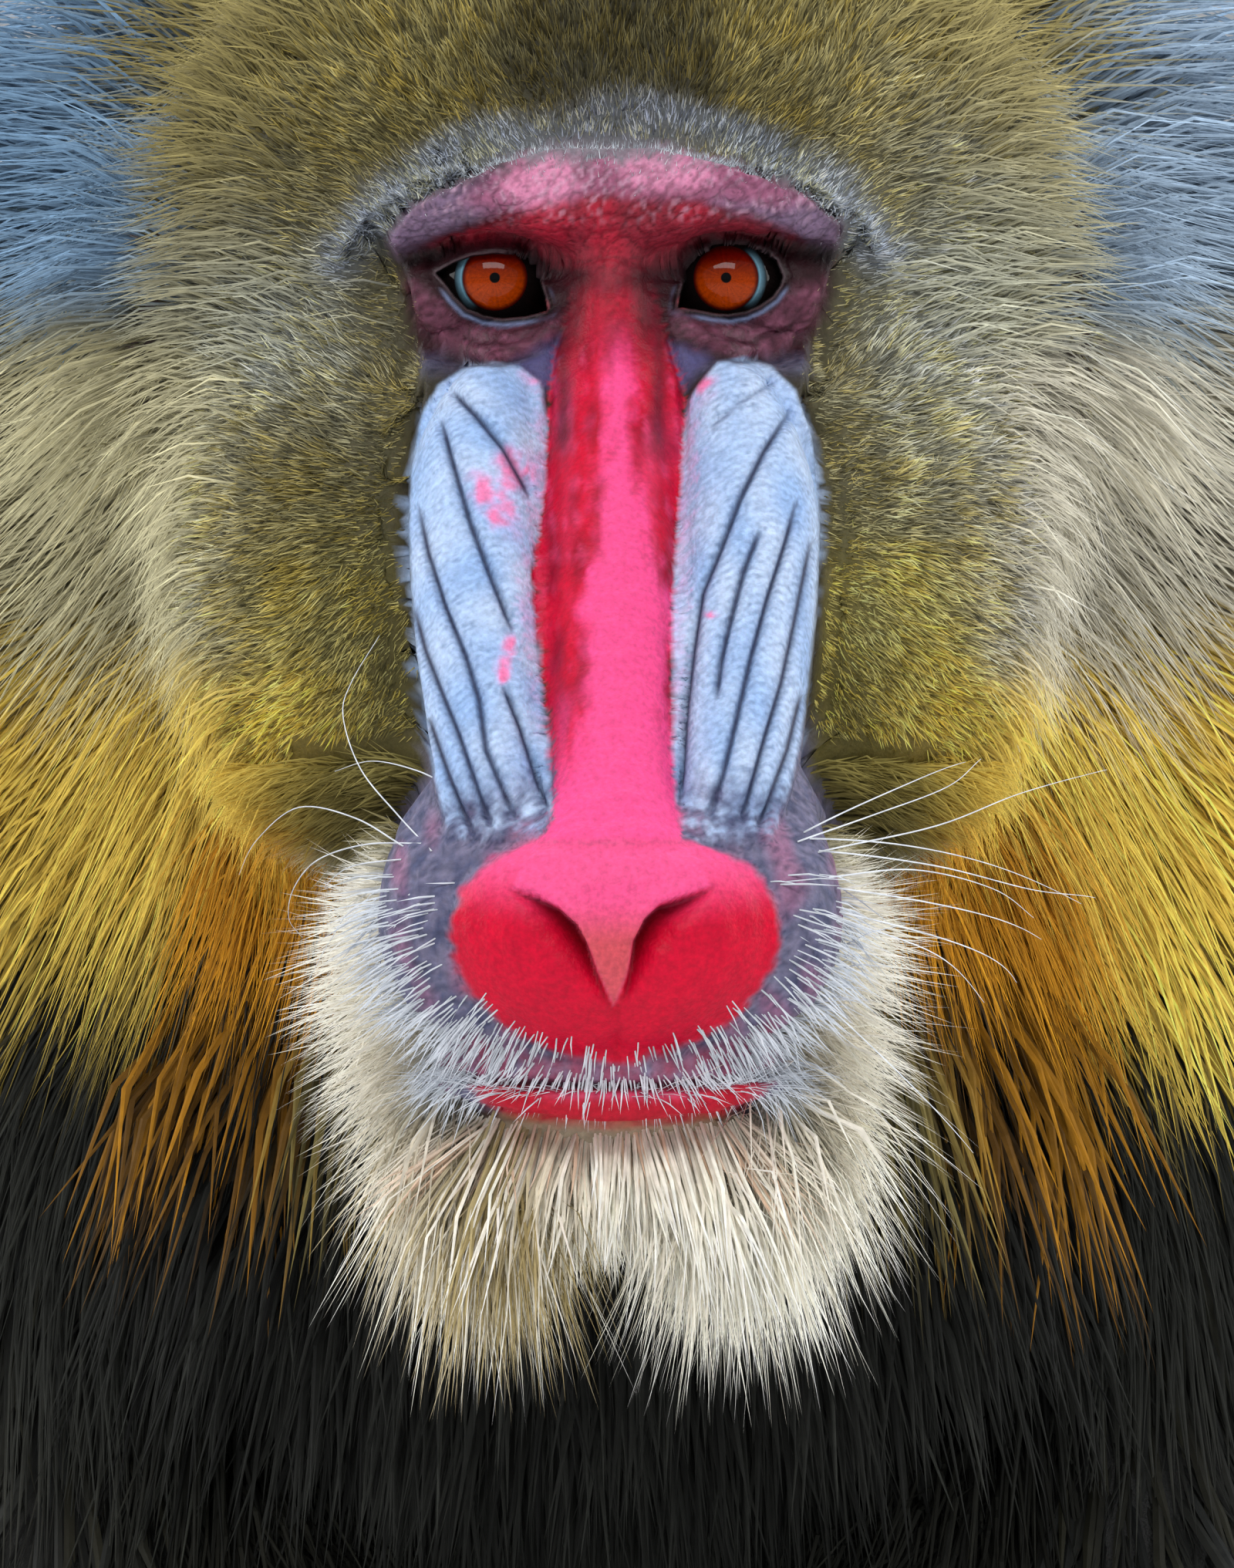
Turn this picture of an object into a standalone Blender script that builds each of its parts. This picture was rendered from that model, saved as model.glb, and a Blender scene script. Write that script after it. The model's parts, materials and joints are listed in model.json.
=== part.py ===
"""A life-size adult male mandrill, standing on all fours with its head lowered.

Lengths are in metres. The animal faces -Y, its left side is +X, +Z is up and the floor is z = 0.
Trunk and limbs are placed by how far back they lie from the eyes and how high above the floor.
The face is placed by how far forward and how high it lies from the point between the eyes.
Most forms are given by the outline of the coat, with locks of long hair out to their real tips.
"""
import math
import random

import bmesh
import bpy
import numpy as np
from mathutils import Matrix, Vector
from mathutils.bvhtree import BVHTree

GAP = 0.0003
EYES_Y = -0.373
EYES_Z = 0.490
EYE_SPACING = 0.0225
EYE_RADIUS = 0.0118
EYE_DEPTH = 0.0125
LID_THICKNESS = 0.0019

BODY_VOXEL = 0.0065
HEAD_VOXEL = 0.0036
BODY_TRIANGLES = 1500
HEAD_TRIANGLES = 1050

FUR_OLIVE = (0.20, 0.165, 0.085)
FUR_DARK = (0.06, 0.05, 0.045)
FUR_GREY = (0.30, 0.31, 0.30)
FUR_GOLD = (0.62, 0.40, 0.08)
FUR_WHITE = (0.82, 0.80, 0.74)
SKIN_RED = (0.75, 0.03, 0.07)
SKIN_BLUE = (0.40, 0.56, 0.82)
SKIN_SLATE = (0.25, 0.26, 0.34)
SKIN_DARK = (0.05, 0.045, 0.05)
SKIN_EAR = (0.50, 0.36, 0.32)
SKIN_VIOLET = (0.55, 0.36, 0.62)
EYE_AMBER = (0.55, 0.13, 0.02)


def at(x, back, up):
    """A point of the trunk or limbs."""
    return Vector((x, EYES_Y + back, up))


def face(x, forward, up):
    """A point of the head, from the point between the eyes."""
    return Vector((x, EYES_Y - forward, EYES_Z + up))


def clear_scene():
    for item in list(bpy.data.objects):
        bpy.data.objects.remove(item)


def collection(name):
    made = bpy.data.collections.new(name)
    bpy.context.scene.collection.children.link(made)
    return made


def material(name, colour, roughness):
    made = bpy.data.materials.new(name)
    made.use_nodes = True
    shader = made.node_tree.nodes["Principled BSDF"]
    shader.inputs["Base Color"].default_value = (*colour, 1.0)
    shader.inputs["Roughness"].default_value = roughness
    shader.inputs["Metallic"].default_value = 0.0
    return made


def add_object(name, mesh, into):
    made = bpy.data.objects.new(name, mesh)
    into.objects.link(made)
    return made


def object_from(bm, name, into):
    bmesh.ops.recalc_face_normals(bm, faces=bm.faces)
    mesh = bpy.data.meshes.new(name)
    bm.to_mesh(mesh)
    bm.free()
    return add_object(name, mesh, into)


def remove(item):
    bpy.data.objects.remove(item)


def bake(item):
    """Applies an object's modifiers."""
    bpy.context.view_layer.update()
    graph = bpy.context.evaluated_depsgraph_get()
    mesh = bpy.data.meshes.new_from_object(item.evaluated_get(graph))
    item.modifiers.clear()
    item.data = mesh
    return item


def smooth_rows(rows, steps):
    """Rows of numbers, with Catmull-Rom rows filled in between them."""
    rows = np.array(rows, float)
    ends = np.vstack([2 * rows[0] - rows[1], rows, 2 * rows[-1] - rows[-2]])
    filled = []
    for i in range(len(rows) - 1):
        a, b, c, d = ends[i:i + 4]
        for t in np.linspace(0, 1, steps, endpoint=False):
            filled.append(0.5 * (2 * b + (c - a) * t + (2 * a - 5 * b + 4 * c - d) * t * t
                                 + (3 * b - a - 3 * c + d) * t ** 3))
    filled.append(rows[-1])
    return np.array(filled)


def skin_rings(bm, rings):
    """Closed skin over rings of points, each end closed by a pole."""
    verts = [[bm.verts.new(p) for p in ring] for ring in rings]
    sides = len(verts[0])
    for low, high in zip(verts, verts[1:]):
        for k in range(sides):
            bm.faces.new((low[k], low[(k + 1) % sides], high[(k + 1) % sides], high[k]))
    for ring in (verts[0], verts[-1]):
        pole = bm.verts.new(sum((v.co for v in ring), Vector()) / sides)
        for k in range(sides):
            bm.faces.new((ring[k], ring[(k + 1) % sides], pole))


def ring_of(centre, across, up, half_width, half_height, sides, power):
    """A superellipse of points; power 2 is an ellipse and more is boxier."""
    ring = []
    for k in range(sides):
        angle = 2 * math.pi * k / sides
        c, s = math.cos(angle), math.sin(angle)
        u = math.copysign(abs(c) ** (2 / power), c) * half_width
        v = math.copysign(abs(s) ** (2 / power), s) * half_height
        ring.append(centre + across * u + up * v)
    return ring


def loft(name, stations, into, sides=24, steps=4, power=2.0, cap=1.0):
    """A tube through stations (centre, half width across, half height), with round ends."""
    rows = smooth_rows([(*s[0], s[1], s[2]) for s in stations], steps)
    centres = [Vector(r[:3]) for r in rows]
    rings = []
    last = len(rows) - 1
    for i, row in enumerate(rows):
        along = (centres[min(i + 1, last)] - centres[max(i - 1, 0)]).normalized()
        across = (Vector((1, 0, 0)) - along * along.x).normalized()
        up = across.cross(along)
        width, height = row[3], row[4]
        if i == 0:
            for angle in (75, 45, 20):
                back = cap * math.sin(math.radians(angle)) * min(width, height)
                k = math.cos(math.radians(angle))
                rings.append(ring_of(centres[i] - along * back, across, up, width * k, height * k, sides, power))
        rings.append(ring_of(centres[i], across, up, width, height, sides, power))
        if i == last:
            for angle in (20, 45, 75):
                ahead = cap * math.sin(math.radians(angle)) * min(width, height)
                k = math.cos(math.radians(angle))
                rings.append(ring_of(centres[i] + along * ahead, across, up, width * k, height * k, sides, power))
    bm = bmesh.new()
    skin_rings(bm, rings)
    return object_from(bm, name, into)


def ellipsoid(name, centre, half, into, tilt=0.0, turn=0.0, segments=24, rings=12):
    """A UV sphere with half sizes across, along and up, tilted about X and turned about Z in degrees."""
    bm = bmesh.new()
    bmesh.ops.create_uvsphere(bm, u_segments=segments, v_segments=rings, radius=1.0)
    turned = Matrix.Rotation(math.radians(turn), 4, "Z") @ Matrix.Rotation(math.radians(tilt), 4, "X")
    bmesh.ops.transform(bm, verts=bm.verts, matrix=Matrix.Translation(centre) @ turned @ Matrix.Diagonal((*half, 1.0)))
    return object_from(bm, name, into)


def join(name, pieces, into):
    """One object that holds several closed shapes, still unjoined."""
    bm = bmesh.new()
    for piece in pieces:
        bm.from_mesh(piece.data)
        remove(piece)
    mesh = bpy.data.meshes.new(name)
    bm.to_mesh(mesh)
    bm.free()
    return add_object(name, mesh, into)


def fuse(name, pieces, into, voxel, smoothing, triangles):
    """Melts overlapping shapes into one smooth form of about that many triangles."""
    whole = join(name, pieces, into)
    remesh = whole.modifiers.new("melt", "REMESH")
    remesh.mode = "VOXEL"
    remesh.voxel_size = voxel
    smooth = whole.modifiers.new("smooth", "SMOOTH")
    smooth.factor = 0.5
    smooth.iterations = smoothing
    bake(whole)
    thin = whole.modifiers.new("thin", "DECIMATE")
    thin.ratio = min(1.0, triangles / (2 * len(whole.data.polygons)))
    thin.use_collapse_triangulate = True
    return bake(whole)


def keep_largest(item):
    """Drops the loose scraps and sealed hollows that a cut or union leaves."""
    bm = bmesh.new()
    bm.from_mesh(item.data)
    bmesh.ops.triangulate(bm, faces=bm.faces)
    left = set(bm.faces)
    islands = []
    while left:
        seed = left.pop()
        island, front = [seed], [seed]
        while front:
            found = {g for edge in front.pop().edges for g in edge.link_faces if g in left}
            left -= found
            island.extend(found)
            front.extend(found)
        volume = sum(f.verts[0].co.dot(f.verts[1].co.cross(f.verts[2].co)) for f in island)
        islands.append((volume, island))
    islands.sort(key=lambda pair: pair[0])
    scraps = [f for _, island in islands[:-1] for f in island]
    bmesh.ops.delete(bm, geom=scraps, context="FACES")
    bm.to_mesh(item.data)
    bm.free()
    return settle(item)


def settle(item):
    """Puts a mesh's points and triangles in an order that follows only from their places."""
    old = item.data
    spots = np.array([v.co[:] for v in old.vertices])
    order = np.lexsort(spots.T)
    rank = np.empty(len(order), int)
    rank[order] = np.arange(len(order))
    faces = rank[np.array([f.vertices[:] for f in old.polygons])]
    turned = (faces.argmin(1)[:, None] + np.arange(3)) % 3
    faces = np.take_along_axis(faces, turned, 1)
    faces = faces[np.lexsort(faces.T[::-1])]
    mesh = bpy.data.meshes.new(item.name)
    mesh.from_pydata(spots[order].tolist(), [], faces.tolist())
    item.data = mesh
    bpy.data.meshes.remove(old)
    return item


def combine(item, operation, others, solver="MANIFOLD"):
    """One Boolean with a collection of closed meshes, applied, with the others removed."""
    tools = bpy.data.collections.new("tools")
    for other in others:
        for held in list(other.users_collection):
            held.objects.unlink(other)
        tools.objects.link(other)
    bpy.context.scene.collection.children.link(tools)
    modifier = item.modifiers.new(operation.lower(), "BOOLEAN")
    modifier.operation = operation
    modifier.solver = solver
    modifier.operand_type = "COLLECTION"
    modifier.collection = tools
    bake(item)
    for other in others:
        remove(other)
    bpy.data.collections.remove(tools)
    return item


def copy_of(item, name, into):
    return add_object(name, item.data.copy(), into)


def part_off(whole, name, region, into):
    """Takes what lies in a region off the whole as a node, with the gap between them."""
    piece = copy_of(whole, name, into)
    combine(piece, "INTERSECT", [region(0.0)])
    combine(whole, "DIFFERENCE", [region(GAP)])
    return keep_largest(piece)


clear_scene()
parts = collection("mandrill")
helpers = collection("helpers")

# The trunk: back from the eyes, height, half width, half height, out to the coat.
TRUNK = (
    (0.770, 0.434, 0.080, 0.090),
    (0.730, 0.436, 0.100, 0.106),
    (0.680, 0.436, 0.108, 0.114),
    (0.600, 0.430, 0.104, 0.114),
    (0.500, 0.424, 0.110, 0.128),
    (0.400, 0.420, 0.126, 0.148),
    (0.310, 0.424, 0.140, 0.166),
    (0.230, 0.436, 0.146, 0.168),
    (0.175, 0.448, 0.128, 0.148),
    (0.130, 0.455, 0.098, 0.112),
    (0.090, 0.462, 0.074, 0.086),
)
trunk = loft("trunk", [(at(0, b, z), w, h) for b, z, w, h in TRUNK], helpers, sides=40, power=2.4, cap=0.5)


def fore_limb(side, stride):
    """Shoulder to wrist of one arm; stride moves the wrist forward."""
    x = side
    return [
        (at(0.084 * x, 0.225, 0.500), 0.054, 0.060),
        (at(0.096 * x, 0.208, 0.440), 0.058, 0.064),
        (at(0.104 * x, 0.207, 0.385), 0.056, 0.064),
        (at(0.108 * x, 0.228, 0.320), 0.050, 0.056),
        (at(0.108 * x, 0.240 - 0.3 * stride, 0.262), 0.045, 0.049),
        (at(0.106 * x, 0.228 - 0.5 * stride, 0.210), 0.045, 0.048),
        (at(0.102 * x, 0.212 - 0.75 * stride, 0.150), 0.038, 0.040),
        (at(0.099 * x, 0.198 - stride, 0.100), 0.029, 0.030),
        (at(0.098 * x, 0.190 - stride, 0.068), 0.026, 0.022),
    ]


def hind_limb(side, stride):
    """Hip to heel of one leg; stride moves the heel forward."""
    x = side
    return [
        (at(0.066 * x, 0.716, 0.440), 0.060, 0.086),
        (at(0.080 * x, 0.700, 0.385), 0.062, 0.094),
        (at(0.096 * x, 0.655 - 0.2 * stride, 0.320), 0.056, 0.074),
        (at(0.104 * x, 0.625 - 0.4 * stride, 0.262), 0.048, 0.054),
        (at(0.104 * x, 0.640 - 0.6 * stride, 0.205), 0.041, 0.046),
        (at(0.102 * x, 0.680 - 0.8 * stride, 0.145), 0.036, 0.041),
        (at(0.099 * x, 0.715 - stride, 0.092), 0.028, 0.031),
        (at(0.098 * x, 0.733 - stride, 0.055), 0.023, 0.026),
        (at(0.098 * x, 0.737 - stride, 0.030), 0.019, 0.022),
    ]


STRIDES = {"left": (0.022, 0.030), "right": (-0.012, -0.018)}
SIDES = {"left": 1.0, "right": -1.0}

body_forms = [trunk]
for word, side in SIDES.items():
    fore_stride, hind_stride = STRIDES[word]
    body_forms.append(loft("arm", fore_limb(side, fore_stride), helpers, sides=24))
    body_forms.append(loft("leg", hind_limb(side, hind_stride), helpers, sides=24))
TAIL = (
    (at(0, 0.770, 0.490), 0.032, 0.030),
    (at(0, 0.796, 0.520), 0.024, 0.024),
    (at(0, 0.816, 0.548), 0.019, 0.019),
    (at(0, 0.830, 0.572), 0.013, 0.013),
)
body_forms.append(loft("tail", TAIL, helpers, sides=16))
body = fuse("body", body_forms, helpers, BODY_VOXEL, 12, BODY_TRIANGLES)

# The head, by horizontal sections: height, front, back and half width, out to the tips of the short fur.
SKULL = (
    (0.086, -0.050, -0.092, 0.022),
    (0.076, -0.028, -0.116, 0.050),
    (0.056, -0.008, -0.134, 0.076),
    (0.030, 0.001, -0.144, 0.090),
    (0.004, -0.009, -0.148, 0.095),
    (-0.026, -0.012, -0.146, 0.095),
    (-0.056, -0.018, -0.138, 0.089),
    (-0.084, -0.026, -0.126, 0.076),
    (-0.108, -0.038, -0.112, 0.056),
    (-0.122, -0.052, -0.098, 0.030),
)
BROW = (
    (face(-0.056, -0.026, 0.002), 0.008),
    (face(-0.042, -0.008, 0.014), 0.009),
    (face(-0.022, 0.002, 0.019), 0.010),
    (face(0.0, 0.001, 0.016), 0.012),
    (face(0.022, 0.002, 0.019), 0.010),
    (face(0.042, -0.008, 0.014), 0.009),
    (face(0.056, -0.026, 0.002), 0.008),
)
CHEEKBONE = (
    (0.030, 0.000, -0.026, 0.008),
    (0.044, -0.012, -0.022, 0.010),
    (0.062, -0.032, -0.012, 0.011),
)

# Muzzle, jaw, ridges and nose: top and bottom of each section as (forward, up), and half width.
MUZZLE = (
    ((0.002, 0.000), (-0.042, -0.030), 0.027),
    ((0.012, -0.018), (-0.037, -0.053), 0.034),
    ((0.026, -0.039), (-0.026, -0.077), 0.036),
    ((0.042, -0.060), (-0.006, -0.096), 0.036),
    ((0.057, -0.079), (0.016, -0.111), 0.037),
    ((0.070, -0.096), (0.036, -0.124), 0.041),
    ((0.080, -0.107), (0.058, -0.142), 0.044),
    ((0.083, -0.114), (0.073, -0.150), 0.040),
)
JAW = (
    ((-0.046, -0.056), (-0.080, -0.122), 0.050),
    ((-0.018, -0.064), (-0.050, -0.138), 0.046),
    ((0.010, -0.076), (-0.016, -0.150), 0.043),
    ((0.034, -0.098), (0.014, -0.163), 0.041),
    ((0.055, -0.122), (0.038, -0.175), 0.038),
    ((0.070, -0.141), (0.056, -0.181), 0.033),
    ((0.076, -0.149), (0.067, -0.176), 0.027),
)
RIDGE = (
    ((0.004, -0.014), (-0.010, -0.024), 0.0195, 0.0050),
    ((0.014, -0.019), (-0.014, -0.040), 0.0225, 0.0100),
    ((0.026, -0.031), (-0.008, -0.056), 0.0250, 0.0135),
    ((0.038, -0.045), (0.004, -0.072), 0.0255, 0.0140),
    ((0.053, -0.064), (0.020, -0.089), 0.0245, 0.0132),
    ((0.067, -0.083), (0.036, -0.106), 0.0235, 0.0124),
    ((0.077, -0.097), (0.050, -0.118), 0.0225, 0.0112),
)
BRIDGE = (
    ((0.007, 0.010), (-0.012, 0.000), 0.0075),
    ((0.014, -0.010), (-0.006, -0.022), 0.0080),
    ((0.028, -0.030), (0.008, -0.046), 0.0115),
    ((0.046, -0.053), (0.026, -0.069), 0.0130),
    ((0.064, -0.076), (0.044, -0.092), 0.0125),
    ((0.080, -0.097), (0.060, -0.113), 0.0130),
    ((0.090, -0.109), (0.072, -0.126), 0.0180),
)
FLUTES = 8
FLUTE_DEPTH = 0.10
NOSE_CENTRE = (0.0, 0.0765, -0.1275)
NOSE_HALF = (0.0315, 0.0165, 0.0225)
NOSE_TILT = 22.0
NOSTRIL_CENTRE = (0.0135, 0.0935, -0.1235)
NOSTRIL_HALF = (0.0105, 0.0090, 0.0050)


def profile_loft(name, stations, into, sides=28, steps=2, grow=0.0, power=2.4, offset=0.0, flutes=0):
    """A loft through sections given by their top and bottom points in profile, offset to one side."""
    rows = smooth_rows([(*s[0], *s[1], *s[2:]) for s in stations], steps)
    rings = []
    for row in rows:
        top, bottom = face(0, row[0], row[1]), face(0, row[2], row[3])
        up = (top - bottom).normalized()
        aside = offset * row[4]
        width = (row[5] if offset else row[4]) + grow
        ring = ring_of((top + bottom) / 2 + Vector((aside, 0, 0)), Vector((1, 0, 0)), up,
                       width, (top - bottom).length / 2 + grow, sides, power)
        if flutes:
            centre = (top + bottom) / 2 + Vector((aside, 0, 0))
            for k, point in enumerate(ring):
                wave = abs(math.sin(math.pi * flutes * k / sides))
                ring[k] = centre + (point - centre) * (1 - FLUTE_DEPTH * (1 - wave) ** 2)
            ring = [p for k, p in enumerate(ring) if k <= sides // 2 + 1 or k % 3 == 0 or k == sides - 1]
        rings.append(ring)
    for end, inner in ((0, 1), (len(rings) - 1, len(rings) - 2)):
        shrunk = []
        middle = sum(rings[end], Vector()) / len(rings[end])
        step = middle - sum(rings[inner], Vector()) / len(rings[inner])
        for share, ahead in ((0.88, 0.45), (0.45, 0.85)):
            push = step.normalized() * ahead * CAP_DEPTH
            shrunk.append([middle + (p - middle) * share + push for p in rings[end]])
        if end == 0:
            first = shrunk[::-1]
        else:
            rings.extend(shrunk)
    bm = bmesh.new()
    skin_rings(bm, first + rings)
    return object_from(bm, name, into)


CAP_DEPTH = 0.006


def skull_form():
    """The head stacked from horizontal sections."""
    rings = []
    for up, front, back, width in smooth_rows(SKULL, 3):
        centre = face(0, (front + back) / 2, up)
        rings.append(ring_of(centre, Vector((1, 0, 0)), Vector((0, 1, 0)), width, (front - back) / 2, 40, 2.15))
    bm = bmesh.new()
    skin_rings(bm, rings)
    return object_from(bm, "skull", helpers)


def crosswise_loft(name, stations, into, sides=16, steps=4):
    """A tube with round sections that runs from side to side."""
    rows = smooth_rows([(*s[0], s[1]) for s in stations], steps)
    rings = []
    last = len(rows) - 1
    for i, row in enumerate(rows):
        ahead = Vector(rows[min(i + 1, last)][:3])
        along = (ahead - Vector(rows[max(i - 1, 0)][:3])).normalized()
        across = (Vector((0, 0, 1)) - along * along.z).normalized()
        rings.append(ring_of(Vector(row[:3]), across, across.cross(along), row[3], row[3], sides, 2.0))
    bm = bmesh.new()
    skin_rings(bm, rings)
    return object_from(bm, name, into)


def bridge_form(grow=0.0):
    into = parts if grow == 0 else helpers
    return profile_loft("nose_bridge", BRIDGE, into, sides=12, steps=1, grow=grow, power=2.2)


def ridge_form(word, grow=0.0):
    into = parts if grow == 0 else helpers
    return profile_loft("nasal_ridge_" + word, RIDGE, into, sides=24, steps=1, grow=grow, power=2.3,
                        offset=SIDES[word], flutes=FLUTES)


def nose_form(grow=0.0):
    half = Vector(NOSE_HALF) + Vector((grow,) * 3)
    into = parts if grow == 0 else helpers
    return ellipsoid("nose", face(*NOSE_CENTRE), half, into, tilt=NOSE_TILT, segments=16, rings=8)


def eye_form(word, grow=0.0):
    centre = face(SIDES[word] * EYE_SPACING, -EYE_DEPTH, 0.0)
    into = parts if grow == 0 else helpers
    radius = EYE_RADIUS + grow
    return ellipsoid("eye_" + word, centre, (radius,) * 3, into, segments=12, rings=8)


def ear_form(word, grow=0.0):
    side = SIDES[word]
    half = Vector((0.0065, 0.0170, 0.0260)) + Vector((grow,) * 3)
    into = parts if grow == 0 else helpers
    centre = face(side * 0.0900, -0.088, -0.002)
    return ellipsoid("ear_" + word, centre, half, into, tilt=-14, turn=side * 24, segments=10, rings=7)


def ear_cup(word):
    side = SIDES[word]
    centre = face(side * 0.0975, -0.0865, 0.0)
    return ellipsoid("cup", centre, (0.0075, 0.0115, 0.0190), helpers, tilt=-14, turn=side * 24, segments=10, rings=6)


def block(name, planes, grow=0.0):
    """A six-sided block from three opposite pairs of planes (point, outward normal), grown on every side."""
    solved = [(Vector(n).normalized(), Vector(n).normalized().dot(Vector(p)) + grow) for p, n in planes]
    bm = bmesh.new()
    corners = []
    for a in (0, 1):
        for b in (2, 3):
            for c in (4, 5):
                rows = [solved[a], solved[b], solved[c]]
                spot = Matrix([r[0] for r in rows]).inverted() @ Vector([r[1] for r in rows])
                corners.append(bm.verts.new(spot))
    for loop in ((0, 1, 3, 2), (4, 5, 7, 6), (0, 1, 5, 4), (2, 3, 7, 6), (0, 2, 6, 4), (1, 3, 7, 5)):
        bm.faces.new([corners[k] for k in loop])
    return object_from(bm, name, helpers)


def slab(low, high, tip, tail, grow):
    """The block between two planes that run across the body, given by pairs of points in profile."""
    def normal(first, second, outward):
        run = second - first
        made = Vector((0, run.z, -run.y))
        return made if made.dot(outward) > 0 else -made
    middle = (sum(low, Vector()) + sum(high, Vector())) / 4
    planes = [
        (low[0], normal(*low, low[0] - middle)), (high[0], normal(*high, high[0] - middle)),
        (tip, tip - middle), (tail, tail - middle),
        (Vector((0.4, 0, 0)), (1, 0, 0)), (Vector((-0.4, 0, 0)), (-1, 0, 0)),
    ]
    return block("slab", planes, grow)


skull = skull_form()
head_pieces = [skull, crosswise_loft("brow", BROW, helpers)]
head_pieces.append(profile_loft("snout", MUZZLE, helpers, power=2.7))
head_pieces.append(profile_loft("jaw", JAW, helpers, power=2.5))
for side in SIDES.values():
    bone = [(face(side * x, f, u), r) for x, f, u, r in CHEEKBONE]
    head_pieces.append(crosswise_loft("cheekbone", bone if side > 0 else bone[::-1], helpers))
    head_pieces.append(ellipsoid("cheek", face(side * 0.046, -0.050, -0.054), (0.045, 0.052, 0.066), helpers))
    head_pieces.append(ellipsoid("orbit", face(side * 0.024, -0.020, 0.0), (0.026, 0.016, 0.018), helpers))
head_core = fuse("head_core", head_pieces, helpers, HEAD_VOXEL, 5, HEAD_TRIANGLES)

# The cut between head and neck, from the nape to the throat.
NAPE = face(0, -0.128, 0.060)
THROAT = face(0, -0.078, -0.110)


def head_region(grow=0.0):
    run = (NAPE - THROAT).normalized()
    behind = Vector((0, run.z, -run.y))
    planes = [
        (NAPE, behind), (face(0, 0.30, 0), -behind),
        (NAPE + run * 0.20, run), (THROAT - run * 0.16, -run),
        (Vector((0.4, 0, 0)), (1, 0, 0)), (Vector((-0.4, 0, 0)), (-1, 0, 0)),
    ]
    return block("head_region", planes, grow)


combine(head_core, "INTERSECT", [head_region()])
combine(body, "DIFFERENCE", [head_region(GAP)])
keep_largest(head_core)

# The muzzle and lower jaw are parted off the head along the line of the mouth.
LIP_FRONT = (0.0, 0.120, -0.1985)
LIP_CORNER = (0.0, 0.003, -0.0790)


def jaw_region(grow=0.0):
    front, corner = face(*LIP_FRONT), face(*LIP_CORNER)
    run = (front - corner).normalized()
    above = Vector((0, run.z, -run.y))
    above = above if above.z > 0 else -above
    planes = [
        (corner, above), (corner - above * 0.12, -above),
        (front + run * 0.1, run), (corner, -run - above * 0.35),
        (Vector((0.047, 0, 0)), (1, 0, 0)), (Vector((-0.047, 0, 0)), (-1, 0, 0)),
    ]
    return block("jaw_region", planes, grow)


def muzzle_region(grow=0.0):
    top, corner = face(0, 0.012, -0.016), face(*LIP_CORNER)
    run = (top - corner).normalized()
    behind = Vector((0, run.z, -run.y))
    planes = [
        (top, behind), (face(0, 0.2, -0.1), -behind),
        (top + run * 0.10, run), (corner - run * 0.15, -run),
        (Vector((0.047, 0, 0)), (1, 0, 0)), (Vector((-0.047, 0, 0)), (-1, 0, 0)),
    ]
    return block("muzzle_region", planes, grow)


head = copy_of(head_core, "head", parts)
lower_jaw = part_off(head, "lower_jaw", jaw_region, parts)
muzzle = part_off(head, "muzzle", muzzle_region, parts)
lids = []
for side in SIDES.values():
    centre = face(side * EYE_SPACING, -EYE_DEPTH, 0.0)
    lids.append(ellipsoid("lid", centre, (EYE_RADIUS + LID_THICKNESS,) * 3, helpers, segments=14, rings=8))
combine(head, "UNION", lids)
face_tools = [bridge_form(GAP)]
for word, side in SIDES.items():
    face_tools.append(ridge_form(word, GAP))
    face_tools.append(eye_form(word, GAP))
    face_tools.append(ear_form(word, GAP))
    opening = face(side * (EYE_SPACING + 0.0005), 0.002, -0.0004)
    face_tools.append(ellipsoid("opening", opening, (0.0104, 0.0140, 0.0063), helpers,
                                turn=side * 8, segments=16, rings=8))
combine(head, "DIFFERENCE", face_tools)
keep_largest(head)

combine(muzzle, "DIFFERENCE", [bridge_form(GAP), nose_form(GAP), ridge_form("left", GAP), ridge_form("right", GAP)])
combine(lower_jaw, "DIFFERENCE", [nose_form(GAP)])
bridge = bridge_form()
combine(bridge, "DIFFERENCE", [nose_form(GAP)])
for word in SIDES:
    ridge = ridge_form(word)
    combine(ridge, "DIFFERENCE", [bridge_form(GAP), nose_form(GAP), eye_form(word, LID_THICKNESS + GAP)])
    keep_largest(ridge)
    eye_form(word)
    ear = ear_form(word)
    combine(ear, "DIFFERENCE", [ear_cup(word)])
nose = nose_form()
nostrils = []
for side in SIDES.values():
    x, f, u = NOSTRIL_CENTRE
    nostril = ellipsoid("nostril", face(side * x, f, u), NOSTRIL_HALF, helpers, segments=12, rings=6)
    slant = Matrix.Translation(face(side * x, f, u)) @ Matrix.Rotation(side * math.radians(-40), 4, "Y")
    nostril.data.transform(slant @ Matrix.Translation(-face(side * x, f, u)))
    nostrils.append(nostril)
combine(nose, "DIFFERENCE", nostrils)
for item in (muzzle, lower_jaw, bridge, nose):
    keep_largest(item)

form = join("form", [copy_of(body, "b", helpers), copy_of(head_core, "h", helpers)], helpers)

# The body is parted at the withers, the loin, the tail root and along the limbs.
WITHERS = at(0, 0.205, 0.640)
CHEST = at(0, 0.120, 0.300)


def neck_region(grow=0.0):
    run = (WITHERS - CHEST).normalized()
    behind = Vector((0, run.z, -run.y))
    planes = [
        (WITHERS, behind), (at(0, -0.2, 0.4), -behind),
        (WITHERS + run * 0.1, run), (CHEST - run * 0.1, -run),
        (Vector((0.4, 0, 0)), (1, 0, 0)), (Vector((-0.4, 0, 0)), (-1, 0, 0)),
    ]
    return block("neck_region", planes, grow)


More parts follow.
